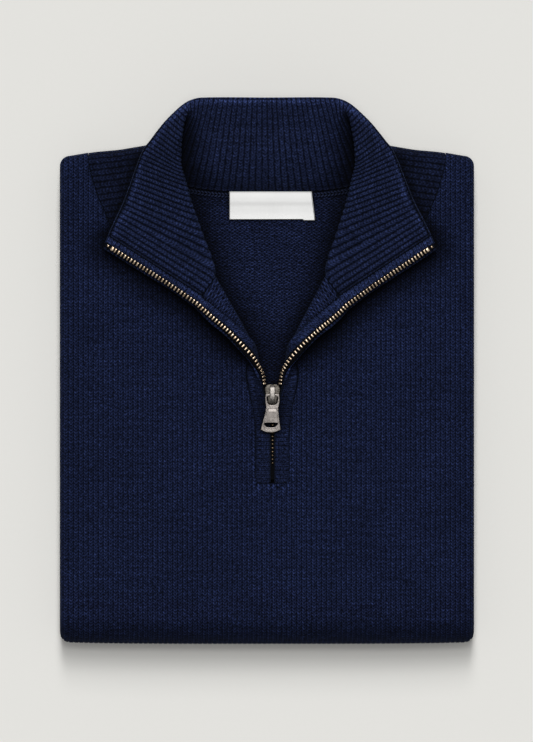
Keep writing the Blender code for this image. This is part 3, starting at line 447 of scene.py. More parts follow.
class Piece:
    """Points (mm), faces and knit coordinates, gathered for one object."""

    def __init__(self):
        self.points, self.faces, self.knit, self.count = [], [], [], 0

    def add(self, points, faces, knit=None, flip=False):
        points = np.asarray(points, float).reshape(-1, 3)
        knit = np.zeros((len(points), 3)) if knit is None else np.asarray(knit, float)
        knit = with_tone(knit.reshape(-1, knit.shape[-1]))
        faces = np.asarray(faces) + self.count
        self.faces += (faces[:, ::-1] if flip else faces).tolist()
        self.points.append(points)
        self.knit.append(knit)
        self.count += len(points)

    def grid(self, points, knit=None, flip=False, keep=None):
        faces = grid_quads(*points.shape[:2])
        self.add(points, faces if keep is None else faces[keep.reshape(-1)], knit, flip)

    def copy(self, block, centre, axes, scale=(1, 1, 1)):
        """Adds a copy of a block, with its own axes as rows."""
        points, faces = block
        self.points.append((points * np.asarray(scale)) @ np.asarray(axes) + centre)
        self.knit.append(np.zeros((len(points), 3)))
        self.faces += [[k + self.count for k in face] for face in faces]
        self.count += len(points)

    def shell(self, points, normals, outer, inner, rounding, knit, flip=False):
        """A closed sheet: two faces, offset from the middle, and a rounded rim."""
        rows, columns = points.shape[:2]
        knit = with_tone(knit)
        outer, inner = np.broadcast_to(outer, (rows, columns)), np.broadcast_to(inner, (rows, columns))
        self.grid(points + normals * outer[..., None], knit, flip)
        self.grid(points - normals * inner[..., None], knit, not flip)
        i, j = border_of(rows, columns).T
        away = unit(points[i, j] - points[np.clip(i, 1, rows - 2), np.clip(j, 1, columns - 2)])
        loops = []
        for angle in (0, 40, 90, 140, 180):
            turn = math.radians(angle)
            depth = outer[i, j] if angle <= 90 else inner[i, j]
            rise = (math.cos(turn) * depth)[..., None]
            loops.append(points[i, j] + normals[i, j] * rise + away * (math.sin(turn) * rounding))
        rim = closed(loops)
        around = closed(knit[i, j][None])
        self.grid(rim, np.broadcast_to(around, rim.shape), flip)

    def skirt(self, points, keep, normals, depth, knit):
        """A wall down from the open edges of a partly kept grid."""
        rows, columns = points.shape[:2]
        faces = grid_quads(rows, columns)[keep.reshape(-1)]
        edges = np.stack([faces, np.roll(faces, -1, axis=1)], -1).reshape(-1, 2).astype(np.int64)
        code, back = edges @ [rows * columns, 1], edges @ [1, rows * columns]
        a, b = edges[~np.isin(code, back)].T
        low = (points - normals * depth).reshape(-1, 3)
        points, knit = points.reshape(-1, 3), with_tone(knit).reshape(-1, 3)
        corners = np.stack([points[b], points[a], low[a], low[b]], 1)
        self.add(corners, np.arange(len(a) * 4).reshape(-1, 4), knit[np.stack([b, a, a, b], 1)])

    def build(self, name, look, nodes=(), weld=0.004):
        """The mesh object of what was gathered, its doubled points welded, on the sweater's body."""
        mesh = bpy.data.meshes.new(name)
        mesh.from_pydata(np.concatenate(self.points) * MM, [], self.faces)
        # The knit attribute: wales, courses and how much lighter the colour is made, mostly painted light
        # and shade.
        knit = mesh.attributes.new("knit", "FLOAT_VECTOR", "POINT")
        knit.data.foreach_set("vector", np.concatenate(self.knit).astype(np.float32).reshape(-1))
        if weld:
            shape = bmesh.new()
            shape.from_mesh(mesh)
            bmesh.ops.remove_doubles(shape, verts=shape.verts, dist=weld * MM)
            bmesh.ops.dissolve_degenerate(shape, edges=shape.edges, dist=0.001 * MM)
            loose = [vert for vert in shape.verts if not vert.link_faces]
            bmesh.ops.delete(shape, geom=loose, context="VERTS")
            shape.to_mesh(mesh)
            shape.free()
        mesh.shade_smooth()
        made = add_object(name, mesh, look)
        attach(made, "sweater")
        if nodes:
            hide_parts(*nodes)
        return made


def stitch_height(i, j):
    """Height of the knit's lattice at column i and row j, from -1 to 1."""
    return np.where(j % 2 == 0, RIDGE[i % 4], VALLEY[i % 4])


def ripple(x, y):
    """Soft unevenness of cloth that lies flat, from about -1 to 1."""
    return (0.40 * np.sin(x / 31 + y / 57 + 0.6) + 0.30 * np.sin(x / 19 - y / 41 + 2.1)
            + 0.20 * np.sin(x / 12 + y / 23 + 4.0) + 0.15 * np.sin(y / 15 - x / 47 + 1.3))


# ---- materials ----
def colour(red, green, blue):
    return (red, green, blue, 1.0)


class Look:
    """A material's nodes, written as sums on its sockets."""

    def __init__(self, name, roughness=0.9, metallic=0.0, specular=0.5):
        self.material = bpy.data.materials.new(name)
        self.material.use_nodes = True
        self.tree = self.material.node_tree
        self.shader = self.tree.nodes["Principled BSDF"]
        self.set("Roughness", roughness)
        self.set("Metallic", metallic)
        self.set("Specular IOR Level", specular)

    def put(self, socket, value):
        if hasattr(value, "is_output"):
            self.tree.links.new(value, socket)
        else:
            socket.default_value = value

    def set(self, name, value):
        self.put(self.shader.inputs[name], value)

    def node(self, kind, inputs, **settings):
        made = self.tree.nodes.new(kind)
        for key, value in settings.items():
            setattr(made, key, value)
        for key, value in inputs.items():
            self.put(made.inputs[key], value)
        return made

    def sum(self, operation, *values):
        return self.node("ShaderNodeMath", dict(enumerate(values)), operation=operation).outputs[0]

    def product(self, first, *others):
        for other in others:
            first = self.sum("MULTIPLY", first, other)
        return first

    def scale(self, value, from_low, from_high, to_low, to_high):
        return self.node("ShaderNodeMapRange", {"Value": value, "From Min": from_low, "From Max": from_high,
                                                "To Min": to_low, "To Max": to_high}).outputs[0]

    def spread(self, noise, low, high):
        """A noise's usual range as a factor from low to high."""
        return self.scale(noise, 0.3, 0.7, low, high)

    def noise(self, vector, scale, detail=2.0, roughness=0.5):
        return self.node("ShaderNodeTexNoise", {"Vector": vector, "Scale": scale, "Detail": detail,
                                                "Roughness": roughness}).outputs["Fac"]

    def blend(self, fac, a, b):
        return self.node("ShaderNodeMix", {0: fac, 6: a, 7: b}, data_type="RGBA").outputs[2]

    def vector(self, operation, inputs):
        return self.node("ShaderNodeVectorMath", inputs, operation=operation).outputs[0]

    def bump(self, height, distance):
        made = self.node("ShaderNodeBump", {"Height": height, "Distance": distance * MM, "Strength": 1.0})
        self.set("Normal", made.outputs[0])

    def place(self):
        return self.node("ShaderNodeTexCoord", {}).outputs["Object"]

    def knit(self):
        """The knit coordinates, whole and as wales, courses and how much lighter the colour is made, mostly
        painted light and shade.
        """
        whole = self.node("ShaderNodeAttribute", {}, attribute_name="knit").outputs["Vector"]
        return whole, *self.node("ShaderNodeSeparateXYZ", {0: whole}).outputs

    def painted_hollow_shade(self, reach, dark):
        """Painted shade in recesses: how open the surroundings are, as a colour factor from `dark` to 1."""
        made = self.node("ShaderNodeAmbientOcclusion", {"Distance": reach * MM}, samples=6)
        return self.scale(self.sum("POWER", made.outputs["AO"], 4.0), 0.0, 1.0, dark, 1.0)

    def tint(self, base, light):
        """The base colour: one colour, times a factor."""
        self.set("Base Color", self.vector("SCALE", {0: base, 3: light}))

    def wool(self, fibre):
        """What all wool has: a dull face and the sheen of its fuzz."""
        self.set("Roughness", self.spread(fibre, 0.80, 0.95))
        self.set("Sheen Weight", 0.06)
        self.set("Sheen Roughness", 0.5)
        self.set("Sheen Tint", colour(0.25, 0.34, 0.62))


def plain_stitches(look, u, v, furrow, sharp, solid, dip):
    """Height of plain knit: V-shaped rows of legs, with a furrow between wales."""
    off = look.sum("ABSOLUTE", look.sum("SUBTRACT", look.sum("FRACT", u), 0.5))
    off = look.sum("MULTIPLY", off, 2.0)                        # 0 in the wale's middle, 1 between
    phase = look.sum("FRACT", look.sum("MULTIPLY_ADD", off, -LEAN[0], v))
    row = look.sum("MULTIPLY", look.sum("ABSOLUTE", look.sum("SUBTRACT", phase, 0.5)), 2.0)
    between = look.product(look.sum("POWER", off, furrow), look.sum("MULTIPLY_ADD", row, -solid, 1.0))
    body = look.sum("MULTIPLY_ADD", look.sum("POWER", row, sharp), 1 - dip, dip)
    dot = look.sum("SMOOTH_MIN", 1.0, look.sum("MULTIPLY_ADD", off, 3.2, 0.25), 0.3)
    return look.product(look.sum("SUBTRACT", 1.0, between), body, look.sum("MAXIMUM", dot, row))


def purl_stitches(look, u, v):
    """Height of purl knit: rows of loops that lie between those of the next row."""
    doubled = look.sum("MULTIPLY", v, 2.0)
    odd = look.sum("FLOORED_MODULO", look.sum("FLOOR", doubled), 2.0)
    turn = look.sum("MULTIPLY", look.sum("MULTIPLY_ADD", odd, 0.5, u), 2 * math.pi)
    loop = look.sum("MULTIPLY_ADD", look.sum("COSINE", turn), 0.5, 0.5)
    arch = look.sum("SINE", look.sum("MULTIPLY", look.sum("FRACT", doubled), math.pi))
    return look.product(arch, look.sum("POWER", loop, 0.7))


def knit_look(name, base, purl=False, depth=0.30, furrow=2.6, sharp=0.9, peak=2.5, stray=0.09, solid=0.0,
              painted_light=0.0, dip=0.34):
    """Wool knit, after the `knit` attribute's wales, courses and lightening, which is mostly painted light
    and shade; the stitches' relief and the recesses round them are painted into the colour as shade.
    """
    look = Look(name, specular=0.05)
    knit, u, v, tone_and_painted_light = look.knit()
    at = look.place()
    u = look.sum("ADD", u, look.spread(look.noise(at, 380.0, 2.0, 0.6), -stray, stray))
    v = look.sum("ADD", v, look.spread(look.noise(at, 430.0, 2.0, 0.6), -1.3 * stray, 1.3 * stray))
    height = purl_stitches(look, u, v) if purl else plain_stitches(look, u, v, furrow, sharp, solid, dip)
    twist = look.noise(at, 1300.0, 2.0, 0.6)
    streak = look.noise(look.vector("MULTIPLY", {0: knit, 1: (0.13, 1.0, 0.0)}), 1.0, 2.0, 0.55)
    cloud = look.noise(at, 26.0, 3.0, 0.55)
    fibre = look.noise(at, 760.0, 3.0, 0.8)
    single = look.noise(knit, 1.4, 1.0, 0.5)
    # The stitches' height also sets their colour: painted shade in the furrows and gaps between the loops,
    # lighter on their crests.
    light = look.product(look.scale(height, 0.0, 1.0, 0.05, peak), look.spread(single, 0.62, 1.40),
                         look.spread(streak, 0.76, 1.26), look.spread(cloud, 0.88, 1.12),
                         look.spread(fibre, 0.20, 1.80), look.sum("ADD", tone_and_painted_light, 1.0))
    # Painted light and shade on the stitches: one leg of each is made lighter and the other darker, as if
    # the light fell from one side.
    if painted_light:
        leg = look.sum("SINE", look.sum("MULTIPLY", u, 2 * math.pi))
        light = look.product(light, look.sum("MULTIPLY_ADD", leg, painted_light, 1.0))
    # Painted shade: the colour darkens in recesses and under overhangs.
    look.tint(base, look.product(light, look.painted_hollow_shade(24.0, 0.05)))
    look.bump(look.sum("MULTIPLY_ADD", twist, 0.35, height), depth)
    look.wool(fibre)
    return look.material


def yarn_look():
    """The linking's yarn: no knit in it, only fibres."""
    look = Look("wool_yarn", specular=0.05)
    fibre = look.noise(look.place(), 760.0, 3.0, 0.8)
    # Painted shade: the yarn's colour darkens in recesses.
    light = look.product(look.spread(fibre, 0.5, 1.5), look.painted_hollow_shade(20.0, 0.10))
    look.tint((0.0210, 0.0290, 0.0720), light)
    look.bump(fibre, 0.15)
    look.wool(fibre)
    return look.material


def tape_look():
    """Woven polyester zip tape: a fine herringbone of ribs."""
    look = Look("zip_tape_weave", 0.75, specular=0.1)
    _, u, v, _ = look.knit()
    slant = look.sum("ABSOLUTE", look.sum("SUBTRACT", look.sum("FRACT", look.sum("MULTIPLY", u, 0.5)), 0.5))
    line = look.sum("SINE", look.sum("MULTIPLY", look.sum("ADD", v, slant), 2 * math.pi))
    fibre = look.noise(look.place(), 900.0, 2.0)
    # Painted shade: the tape's colour darkens in recesses.
    light = look.product(look.scale(line, -1, 1, 0.7, 1.2), look.spread(fibre, 0.8, 1.2),
                         look.painted_hollow_shade(12.0, 0.10))
    look.tint((0.0036, 0.0052, 0.0145), light)
    look.set("Roughness", look.spread(fibre, 0.65, 0.85))
    look.bump(line, 0.10)
    return look.material


def label_look():
    """A damask label: warp ribs crossed by finer weft, off white."""
    look = Look("label_weave", 0.75, specular=0.2)
    _, u, v, _ = look.knit()
    warp, weft = (look.sum("SINE", look.sum("MULTIPLY", value, 2 * math.pi)) for value in (u, v))
    cloud = look.noise(look.place(), 60.0, 2.0)
    cloth = look.sum("MULTIPLY_ADD", weft, 0.5, warp)
    light = look.product(look.scale(cloth, -1.5, 1.5, 0.94, 1.03), look.spread(cloud, 0.98, 1.02))
    look.tint((0.985, 0.985, 0.975), light)
    look.set("Roughness", look.spread(cloud, 0.7, 0.85))
    look.bump(cloth, 0.08)
    return look.material


def metal_look(name, bright, dark, roughness, grain=420.0, wear=0.25):
    """Cast and tumbled zip metal: fine speckle, duller where the speckle dips and a few brighter rubs."""
    look = Look(name, roughness, 1.0)
    at = look.place()
    speckle = look.noise(at, grain, 4.0, 0.65)
    cloud = look.noise(at, grain / 6, 2.0)
    rub = look.scale(speckle, 0.35, 0.65, 0.0, 1.0)
    fac = look.sum("MULTIPLY_ADD", look.sum("SUBTRACT", cloud, 0.5), wear, rub)
    look.set("Base Color", look.blend(fac, colour(*dark), colour(*bright)))
    look.set("Roughness", look.spread(speckle, roughness - 0.08, roughness + 0.12))
    look.bump(speckle, 0.05)
    return look.material


JERSEY = knit_look("wool_jersey", (0.0056, 0.0090, 0.0288), furrow=2.3, peak=3.35, solid=0.28, painted_light=0.12,
                   dip=0.18)
PURL = knit_look("wool_purl", (0.0088, 0.0137, 0.0425), purl=True, depth=0.20, peak=2.0, stray=0.16)
RIBS = knit_look("wool_rib", (0.0074, 0.0115, 0.0350), furrow=1.8, peak=2.4)
BAND = knit_look("wool_band", (0.0074, 0.0117, 0.0358), depth=0.26, furrow=3.0, peak=2.0, stray=0.24)
YARN, TAPE, LABEL = yarn_look(), tape_look(), label_look()
GOLD = metal_look("zip_teeth_metal", (0.92, 0.75, 0.56), (0.48, 0.35, 0.23), 0.34)
# The teeth's gold made darker: painted shade on the meshed teeth seen down the slit.
GOLD_IN_PAINTED_SHADE = metal_look("zip_chain_metal", (0.21, 0.155, 0.10), (0.04, 0.03, 0.02), 0.45)
CAST = metal_look("slider_metal", (0.13, 0.12, 0.105), (0.022, 0.019, 0.016), 0.42, 900.0)
NICKEL = metal_look("pull_metal", (0.37, 0.338, 0.315), (0.21, 0.19, 0.178), 0.40)
BAR = metal_look("bridge_metal", (0.30, 0.28, 0.26), (0.07, 0.065, 0.06), 0.40, 900.0)


# ---- front ----
LAPEL_KEYS = np.linspace(0, SEAM_ROW, 301)
LAPEL_GAPS = lerp(SEAM_GAP, ROLLED_GAP, smooth(3, 5, LAPEL_KEYS))
LAPEL_ENDS = band_travel(LAPEL_KEYS, band_width(LAPEL_KEYS) + LAPEL_GAPS)
LAPEL_ROLLS = read_table(LAPEL, LAPEL_KEYS)[:, 3:6]
PLACKET_GAP_Y = PLACKET_END_Y - SEAM_GAP
PLACKET_HALF = 9.2                  # half the width of the placket's sewn end
OPENING_OVERLAP, OPENING_TOP_Y = 0.2, 125
LATTICE_TOP_Y, SKIRT = 150, 1.9
FRONT_RIPPLE, SHOULDER_RIPPLE, LABEL_RIPPLE = 0.32, 0.25, 0.14
BEND_LIMIT = 1.10 * BULGE_MID       # how far round the side folds the fine lattice reaches
BOTTOM_BEND = 2.45                  # radians of the bottom fold that the fine lattice covers


def opening_line(roll_margin=1.0, neck_margin=0.4):
    """How far the zip and neck opening reaches out, by height: arrays of y and out."""
    seam = lapel_section(LAPEL_KEYS, LAPEL_ENDS)
    flat = LAPEL_ENDS <= 1
    heights = np.maximum.accumulate(np.where(flat, seam[:, 1], LAPEL_ROLLS[:, 1]))
    outs = np.where(flat, seam[:, 0], LAPEL_ROLLS[:, 0] + roll_margin)
    neck = read_table(NECK_SEAM, np.linspace(44.6, 18.6, 200))
    neck = neck[neck[:, 1] > heights[-1]]
    return np.concatenate([heights, neck[:, 1]]), np.concatenate([outs, neck[:, 0] + neck_margin])


OPENING = opening_line()


def shoulder_line(side, along, share):
    """A rib's line across the shoulder panel, from its outer edge (share 0) to the neck (1)."""
    along, share = grids(along, share)
    top = rear_base(SADDLE_EDGE[-1][1]) - SHOULDER_PLAIN
    low_y = lerp(SADDLE_LOW_Y, top, along)
    inner_y = low_y + lerp(SHOULDER_TILT_LOW, SHOULDER_TILT_TOP, along)
    neck = read_table(NECK_SEAM, np.linspace(29.4, 18.6, 200))
    inner_out = np.where(inner_y < 133, np.interp(inner_y, neck[:, 1], neck[:, 0]), SHOULDER_INNER)
    outer = vec(side * saddle_edge(low_y), low_y, 0)
    point = mix(outer, place(side, vec(inner_out + 0.6, inner_y, 0)), share)
    point[..., 1] -= SHOULDER_SAG * np.sin(math.pi * share) * (1 - along)
    return point


def chest_lift(x, y):
    """How far the front rises towards the rolled zip edge."""
    row = np.interp(y, LAPEL_ROLLS[:, 1], LAPEL_KEYS)
    values = read_table(LAPEL, row)
    roll_out, roll_z, flat_out = values[..., 3], values[..., 5], values[..., 6]
    q = np.clip((flat_out - abs(x - axis_x(y))) / (flat_out - roll_out), 0, 1)
    turned = smooth(4.5, 7.0, row)
    t = lerp(q, 1 - np.sqrt(1 - q), turned)
    lift = np.maximum(roll_z - top_z(x, y), 0) * t * t + 0.8 * t * (1 - t) * turned
    return lift * smooth(-95, PLACKET_END_Y, y) * (1 - smooth(60, 70, y))


def placket_seam(x, y):
    """How near the placket's sewn end is: distance to its outline and the share of the effect there."""
    across, below = np.maximum(abs(x - ZIP_X) - PLACKET_HALF, 0), np.maximum(PLACKET_GAP_Y - y, 0)
    return np.hypot(across, below), 1 - smooth(14, 34, y - PLACKET_GAP_Y)


def gathers(x, y):
    """Small puckers that run out from the placket's sewn end, from about -1 to 1."""
    away, share = placket_seam(x, y)
    turn = np.arctan2(x - ZIP_X, PLACKET_GAP_Y + 9 - y)
    waves = np.sin(turn * 17 + 0.9 * np.sin(away * 1.2)) + 0.6 * np.sin(turn * 29 - 1.4 * away)
    return share * waves * np.exp(-away / 5.0) * smooth(0.3, 2.0, away)


def pucker(x, y, gather=0.40, dip=0.65, reach=1.2):
    """The dip of the placket's seam with its gathers."""
    away, share = placket_seam(x, y)
    return gather * gathers(x, y) - dip * share * np.exp(-(away / reach) ** 2)


def painted_wing_shadow(x, y):
    """How much painted shadow the turned-out wings and band cast on the chest below them, 0 to 1."""
    near = (y > -20) & (y < 115)
    most = np.zeros(x[near].shape)
    keys = np.linspace(6.6, 10.95, 90)
    for side in (-1, 1):
        for key, point in zip(keys, place(side, teeth_line(side, keys, 0.0)[0])):
            away = np.hypot(x[near] - point[0], y[near] - point[1])
            most = np.maximum(most, smooth(6.6, 7.6, key) * smooth(23.5, 8.5, away))
    shade = np.zeros(x.shape)
    shade[near] = most
    return shade


def front_surface(s, t):
    points = body_map(s, t)
    x, y = points[..., 0], points[..., 1]
    rise = chest_lift(x, y) * (abs(s) < SIDE_BASE_X) + FRONT_RIPPLE * ripple(x, y) + pucker(x, y)
    points[..., 2] += smooth(ROLL_Y - 8, ROLL_Y + 12, t) * rise
    return points


def snap_front(s, t):
    """Moves lattice points out of the openings onto their edges; says which points were inside."""
    axis = axis_x(t)
    side = np.where(s < axis, -1.0, 1.0)
    out = abs(s - axis)
    bound = np.interp(t, *OPENING) - OPENING_OVERLAP
    inside = (t > PLACKET_GAP_Y) & (out < bound) & (t < OPENING_TOP_Y)
    down = inside & (t - PLACKET_GAP_Y < bound - out)
    s = np.where(inside & ~down, axis + side * bound, s)
    t = np.where(down, PLACKET_GAP_Y, t)
    for which in (-1, 1):
        line = shoulder_line(which, 0.0, np.linspace(1, 0, 60))
        line_y = np.interp(which * s, which * line[:, 0], line[:, 1]) - SHOULDER_LOW_GAP
        edge = saddle_edge(t) + SEAM_GAP
        hidden = (which * s >= 0) & (which * s < edge) & (t > line_y)
        sideways = hidden & (edge - which * s < t - line_y)
        t = np.where(hidden & ~sideways, line_y, t)
        s = np.where(sideways, which * edge, s)
        inside = inside | hidden
    rear, over_s, over_t, over = past_edges(s, t)
    shrink = np.where(over > BEND_LIMIT, BEND_LIMIT / np.maximum(over, 1e-9), 1.0)
    s = np.where(over_s > 0, np.sign(s) * (SIDE_BASE_X + over_s * shrink), s)
    t = np.where(over_t > 0, rear + over_t * shrink, t)
    return s, t, inside | (over > BEND_LIMIT + 0.05)


def front_painted_light_and_shade(s, t, sewn=0.5, gather=0.6, bottom=0.24, above_bottom=0.10, sides=0.08, wings=0.54):
    """How much lighter the front's colour is made: a lighter band just off the sewn placket, painted light
    and shade on its gathers, and painted shade in the bottom fold, towards the side folds and under the
    wings.
    """
    away, share = placket_seam(s, t)
    # A lighter band just off the placket's sewn end, and painted light and shade that follow its gathers.
    tone_and_painted_light = sewn * share * np.exp(-((away - 2.5) / 2.5) ** 2) + gather * gathers(s, t)
    # Painted shade where the front turns down into the bottom fold, just above it and towards the side
    # folds.
    tone_and_painted_light = tone_and_painted_light - bottom * smooth(ROLL_Y + 3, ROLL_Y - 8, t)
    tone_and_painted_light = tone_and_painted_light - above_bottom * smooth(ROLL_Y + 30, ROLL_Y + 2, t)
    tone_and_painted_light = tone_and_painted_light - sides * smooth(SIDE_BASE_X - 9, SIDE_BASE_X, abs(s))
    # Painted shadow under the turned-out wings and band.
    return (1 + tone_and_painted_light) * (1 - wings * painted_wing_shadow(s, t)) - 1


def make_front():
    half = int((SIDE_BASE_X + BEND_LIMIT) / WALE * COLUMNS) + 1
    low, high = int((ROLL_Y - BOTTOM_BEND * ROLL_MID) / COURSE * ROWS), int(LATTICE_TOP_Y / COURSE * ROWS)
    i, j = np.meshgrid(np.arange(-half, half + 1), np.arange(low, high + 1))
    knit = vec(i / COLUMNS, j / ROWS + LEAN[i % 4])
    s, t, gone = snap_front(i * WALE / COLUMNS, knit[..., 1] * COURSE)
    knit = with_tone(knit, front_painted_light_and_shade(s, t))
    normals = surface_normals(front_surface, s, t)
    outer = front_surface(s, t) + normals * (MID + KNIT_RELIEF * stitch_height(i, j))[..., None]
    piece = Piece()
    piece.grid(outer, knit, keep=whole_quads(gone))
    piece.skirt(outer, whole_quads(gone), normals, SKIRT, knit)
    return piece.build("front_knit", JERSEY, ("front",))


def fold_strip(base, aim, inward, angles, tucks):
    """Points of a fold round an edge, from rows of its base points and directions."""
    columns = [base + aim * BULGE_MID * math.sin(angle) + inward * BULGE_MID * (1 - math.cos(angle))
               for angle in angles]
    return np.stack(columns + [columns[-1] - aim * tuck for tuck in tucks], axis=1)


def make_folds():
    """The side folds, the rear folds beside the shoulders, the bottom fold's back and the underside."""
    piece = Piece()
    t_hem = ROLL_Y - math.pi * ROLL_MID - (HEM_Y - ROLL_Y)
    rear = rear_base(SIDE_BASE_X)
    angles, tucks = np.linspace(0.95, math.pi, 12), (2.0, 4.0, EDGE_TUCK)
    around = np.concatenate([BULGE_MID * angles, BULGE_MID * math.pi + np.array(tucks)])
    t = np.concatenate([np.arange(t_hem, ROLL_Y - 52, 4.2), np.arange(ROLL_Y - 51, ROLL_Y, 1.4),
                        np.arange(ROLL_Y, rear, 3.0), [rear]])
    for side in (-1, 1):
        base = body_map(np.full(t.shape, side * SIDE_BASE_X), t)
        aim = np.broadcast_to([side, 0.0, 0.0], base.shape)
        points = fold_strip(base, aim, body_inward(t), angles, tucks)
        knit = vec((SIDE_BASE_X + around)[None] / WALE, t[:, None] / COURSE)
        normals = normals_of(points) * side
        piece.grid(points + normals * MID, knit, flip=side < 0)
        piece.grid(points - normals * (MID - 0.5), knit, flip=side > 0)
        turns = np.radians(np.linspace(0, 90, 9))
        bases = [body_map(np.array([side * SIDE_BASE_X]), np.array([rear]))[0]] * len(turns)
        aims = [(side * math.cos(a), math.sin(a), 0) for a in turns]
        for x in np.linspace(SIDE_BASE_X, saddle_edge(rear_y(0)) + SEAM_GAP, 6)[1:]:
            bases.append((side * x, rear_base(x), top_z(x, rear_base(x))))
            aims.append((0, 1, 0))
        points = fold_strip(np.array(bases, float), np.array(aims, float), DOWN, angles, tucks)
        knit = vec(around[None] / COURSE, run_of(points[:, 0])[:, None] / WALE)
        piece.grid(points + normals_of(points) * side * MID, knit, flip=side < 0)
    s = np.linspace(-SIDE_BASE_X - 6.4, SIDE_BASE_X + 6.4, 60)
    t = np.concatenate([np.arange(t_hem, ROLL_Y - 51, 4.0), np.arange(ROLL_Y - 51, ROLL_Y - 38, 1.2)])
    s, t = np.meshgrid(s, t)
    under = body_map(s, t) + surface_normals(body_map, s, t) * MID
    piece.grid(under, vec(s / WALE, t / COURSE))
    hem = np.stack([under[0] + step for step in ([0, 0, 0], [0, 0.6, 1.1], [0, 0, 2.2], [0, -8, 2.2])])
    piece.grid(hem, vec(s[:4] / WALE, np.array([[0], [0.5], [1], [4]])), flip=True)
    return piece.build("fold_knit", JERSEY, ("front",))


def make_facing(side, name):
    """The turned-out lapel between the roll and the band, with the knit's inner side up."""
    keys = np.linspace(LAPEL_KEYS[np.argmax(LAPEL_ENDS > 0.9)], SEAM_ROW, 121)
    ends = np.interp(keys, LAPEL_KEYS, LAPEL_ENDS)
    travel = lerp(np.minimum(0.62, ends - 0.05)[:, None], ends[:, None], np.linspace(0, 1, 29)[None])
    points = lapel_section(keys[:, None], travel)
    knit = vec(run_of(points[len(keys) // 2])[None] / WALE, run_of(points[:, -1])[:, None] / COURSE)
    wave = np.sin(2 * math.pi * knit[..., 1]) * np.cos(2 * math.pi * knit[..., 0])
    piece = Piece()
    piece.shell(place(side, points), -normals_of(points) * [side, 1, 1], MID - 0.1 + 0.12 * wave, MID - 0.3,
                0.3, knit, flip=side > 0)
    return piece.build(name, PURL, ("front",))


# ---- collar ----
def ridge(phase):
    """A rib's cross section, 0 in the furrow and 1 on the crest, wide and round."""
    return 1 - abs(2 * (phase - np.floor(phase)) - 1) ** 2.4


def make_collar(columns_per_rib=6, steepest=0.16, bind_height=0.38, bind_width=3.8, bind_ribs=0.12):
    ribs = np.linspace(-HALF_RIBS, HALF_RIBS, int(HALF_RIBS * columns_per_rib) * 2 + 1)
    rib = abs(ribs)
    lean = np.linalg.norm(collar_point(rib, 0.05) - collar_point(rib, 0.0), axis=-1) / 0.05
    spans = ((0, 0.78, 17), (0.81, 1.22, 15), (1.26, 2.0, 22))      # finest at the fold
    rows = np.concatenate([np.linspace(*span) for span in spans])
    start = SEAM_SETBACK / lean
    points = collar_point(rib[None], start[None] + (2 - start[None]) * (rows[:, None] / 2))
    points = place(np.where(ribs < 0, -1, 1)[None], points)
    across, ups = np.gradient(points, axis=1), unit(np.gradient(points, axis=0))
    pitch = np.linalg.norm(np.cross(across, ups), axis=-1) * columns_per_rib
    relief = np.minimum(RIB_RELIEF, pitch * steepest) * lerp(0.55, 1.0, smooth(12, 18, rib))
    steps = np.linalg.norm(np.diff(points, axis=0), axis=-1)
    run = np.concatenate([np.zeros((1, len(ribs))), np.cumsum(steps, axis=0)])
    left = run[-1] - run                # length to the free edge, which is bound on the wings
    edge = smooth(4.4, 3.0, left) * smooth(12, 17, rib)
    bound = bind_height * np.sin(np.clip(left / bind_width, 0, 1) * math.pi)
    bound = bound + bind_ribs * np.sin(2 * math.pi * ribs) * edge
    outer, inner = (RIB_WALL / 2 + relief * (2 * ridge(ribs + shift) - 1) * (1 - edge) + bound
                    for shift in (0, 0.5))
    # Painted highlights along the collar's free edge, strongest at the back's top edge; on the back the
    # furrows between ribs are made lighter and the crests a little darker, softening their painted shade.
    tone_and_painted_light = 0.60 * smooth(5.0, 1.0, left) * smooth(30, 14, rib) + 0.55 * smooth(4.8, 3.2, left)
    tone_and_painted_light = tone_and_painted_light + (0.6 * (1 - ridge(ribs)) - 0.14) * smooth(18, 12, rib)
    piece = Piece()
    piece.shell(points, normals_of(points), outer, inner, 1.0, vec(ribs, run / COURSE, tone_and_painted_light))
    return piece.build("collar_knit", RIBS, ("collar",))


# ---- zip bands, tape and teeth ----
FACING_SHARE = 0.17                 # from the teeth's root to the band's facing


def on_band(side, keys, share, lift=0.0):
    """Points and normals of a layer on the band's inner side, in the picture's place."""
    keys, lift = keys[:, None], np.broadcast_to(lift, keys.shape)[:, None, None]
    normals = band_inside(keys, share)
    points = bowed(side, keys, share, band_point(keys, share) + normals * lift)
    return place(side, points), normals * [side, 1, 1]


def make_band(side, name, half_courses=10):
    """Sideways knit: its wales run across the band."""
    keys = along_band(0, LAST_KEY, BAND_WALE / COLUMNS, 0.5)
    i, j = np.meshgrid(np.arange(len(keys)), np.arange(half_courses + 1), indexing="ij")
    share = np.clip((j + LEAN[i % 4] * 2) / half_courses, 0, 1)
    share[:, 0] = 0
    slit = lerp(-0.045, 0.035, smooth(0.2, 2.2, keys)) * (1 - smooth(3.5, 4.0, keys))
    share = lerp(slit[:, None], 1.0, share)
    # Painted light on the band's narrow outer strip beyond the teeth, from key 4.8 on and strongest up to
    # key 8.6.
    painted_light = smooth(4.8, 6.4, keys) * (2.4 + 4.6 * smooth(9.6, 8.6, keys))
    knit = with_tone(vec(i / COLUMNS, share * half_courses / 2), smooth(0.24, 0.14, share) * painted_light[:, None])
    relief = BAND_RELIEF * stitch_height(i, j) * np.where((j == 0) | (j == half_courses), 0.3, 1.0)
    piece = Piece()
    piece.shell(*on_band(side, keys, share), BAND_WALL / 2 - 0.1, BAND_WALL / 2 + relief, 0.25, knit,
                flip=side < 0)
    return piece.build(name, BAND, (name.replace("band_knit", "placket"),))


